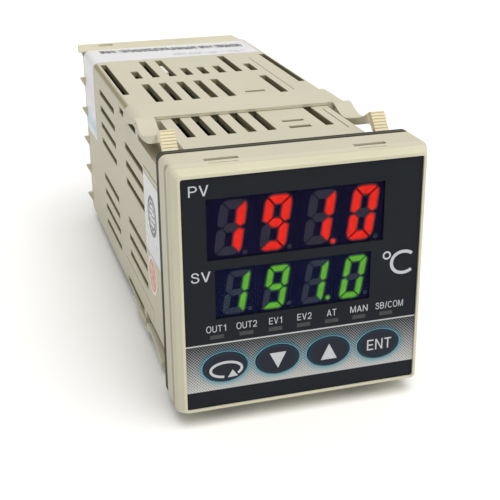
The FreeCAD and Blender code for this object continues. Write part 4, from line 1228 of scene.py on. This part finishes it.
# painted highlight: a white patch set high in the third rear vent stands for the white connector below, seen lit
# through the vent
B = Build()
B.box(lambda u, v, w: (u, v, w), -7.372, -6.5, 68.2, 75.4, 21.15, 22.16, 0, .08)
B.done("vent_connector_highlight", "case", [M_WHITE], "white_nylon")

# display board, rear face
B = Build()
yb = nb("display_board")[3]
TD = back(yb)
for u0, v0 in ((-7.6, 5.0), (6.2, -8.0)):
    B.box(TD, u0 - 2.6, u0 + 2.6, v0 - 4.4, v0 + 4.4, .1, 1.55, 0, .12)
    for i in range(6):
        leg(B, TD, u0 + 2.6, v0 + (i - 2.5) * 1.27, 1, 0, .42)
        leg(B, TD, u0 - 2.6, v0 + (i - 2.5) * 1.27, -1, 0, .42)
for i in range(6):
    smd(B, TD, -10.0 + i * 3.4, 14.2, True, "r")
    smd(B, TD, 4.0 + (i % 3) * 2.4, 4.0 + (i // 3) * 3.2, False, "c" if i % 2 else "r")
    smd(B, TD, -9.5 + (i % 3) * 2.4, -6.0 - (i // 3) * 3.2, False, "r")
B.done("display_board_parts", "chassis", PARTS, "black_epoxy")


# ===========================================================================
# Floor, light and camera
# ===========================================================================
def make_floor():
    g = Nodes("pale_floor")
    g.co()
    n = g.noise(0.01, 3.0, 0.5)
    f = g.noise(0.6, 3.0, 0.6)
    col = g.mix(g.rng(n, 0.3, 0.7), (0.93, 0.93, 0.925, 1), (0.95, 0.95, 0.945, 1))
    g.set(Base_Color=col, Roughness=g.rng(f, 0.3, 0.7, 0.62, 0.72), Specular_IOR_Level=0.2)
    g.bump(f, 0.05, 0.00005)
    return g.mat


ya, za = 6.4, CAD_LO.z / MM
yc, zc = 100.0, nb("terminal_block")[4]
slope = (zc - za) / (yc - ya)
me = bpy.data.meshes.new("floor")
S = 2500.0
me.from_pydata([(x * MM, y * MM, (za - 0.02 + slope * (y - ya)) * MM) for x, y in ((-S, -S), (S, -S), (S, S), (-S, S))], [], [(0, 1, 2, 3)])
floor = bpy.data.objects.new("floor", me)
me.materials.append(make_floor())
scene.collection.objects.link(floor)

world = bpy.data.worlds.new("studio")
scene.world = world
world.use_nodes = True
wt = world.node_tree
bg = wt.nodes["Background"]
tc = wt.nodes.new("ShaderNodeTexCoord")
sx = wt.nodes.new("ShaderNodeSeparateXYZ")
wr = wt.nodes.new("ShaderNodeMapRange")
wr.interpolation_type = "SMOOTHSTEP"
wt.links.new(tc.outputs["Generated"], sx.inputs[0])
wt.links.new(sx.outputs[0], wr.inputs["Value"])
for k, v in (("From Min", -0.95), ("From Max", 0.5), ("To Min", 0.40), ("To Max", 0.66)):
    wr.inputs[k].default_value = v
wt.links.new(wr.outputs["Result"], bg.inputs["Strength"])
bg.inputs["Color"].default_value = (1.0, 1.0, 1.0, 1.0)

sun = bpy.data.lights.new("soft_overhead", "SUN")
sun.energy = 2.2
sun.angle = 1.0
sun.color = (1.0, 0.992, 0.975)
so = bpy.data.objects.new("soft_overhead", sun)
scene.collection.objects.link(so)
so.location = (0.2, -0.4, 1.0)
so.rotation_euler = Vector((-0.10, 0.40, -1.0)).to_track_quat("-Z", "Y").to_euler()

C = Vector((-57.8784, -171.9023, 77.5102)) * MM
yaw, pitch, roll, F = 0.2880, -0.3923, -0.0091, 1040.88
fwd = Vector((math.sin(yaw) * math.cos(pitch), math.cos(yaw) * math.cos(pitch), math.sin(pitch)))
right = fwd.cross(Vector((0, 0, 1))).normalized()
up = right.cross(fwd)
r2 = right * math.cos(roll) + up * math.sin(roll)
u2 = -right * math.sin(roll) + up * math.cos(roll)
cam = bpy.data.cameras.new("camera")
cam.lens = F / 500.0 * 36.0
cam.sensor_width = 36.0
cam.clip_start = 0.005
cam.clip_end = 20.0
co = bpy.data.objects.new("camera", cam)
scene.collection.objects.link(co)
mw = Matrix((r2, u2, -fwd)).transposed().to_4x4()
mw.translation = C
co.matrix_world = mw
scene.camera = co
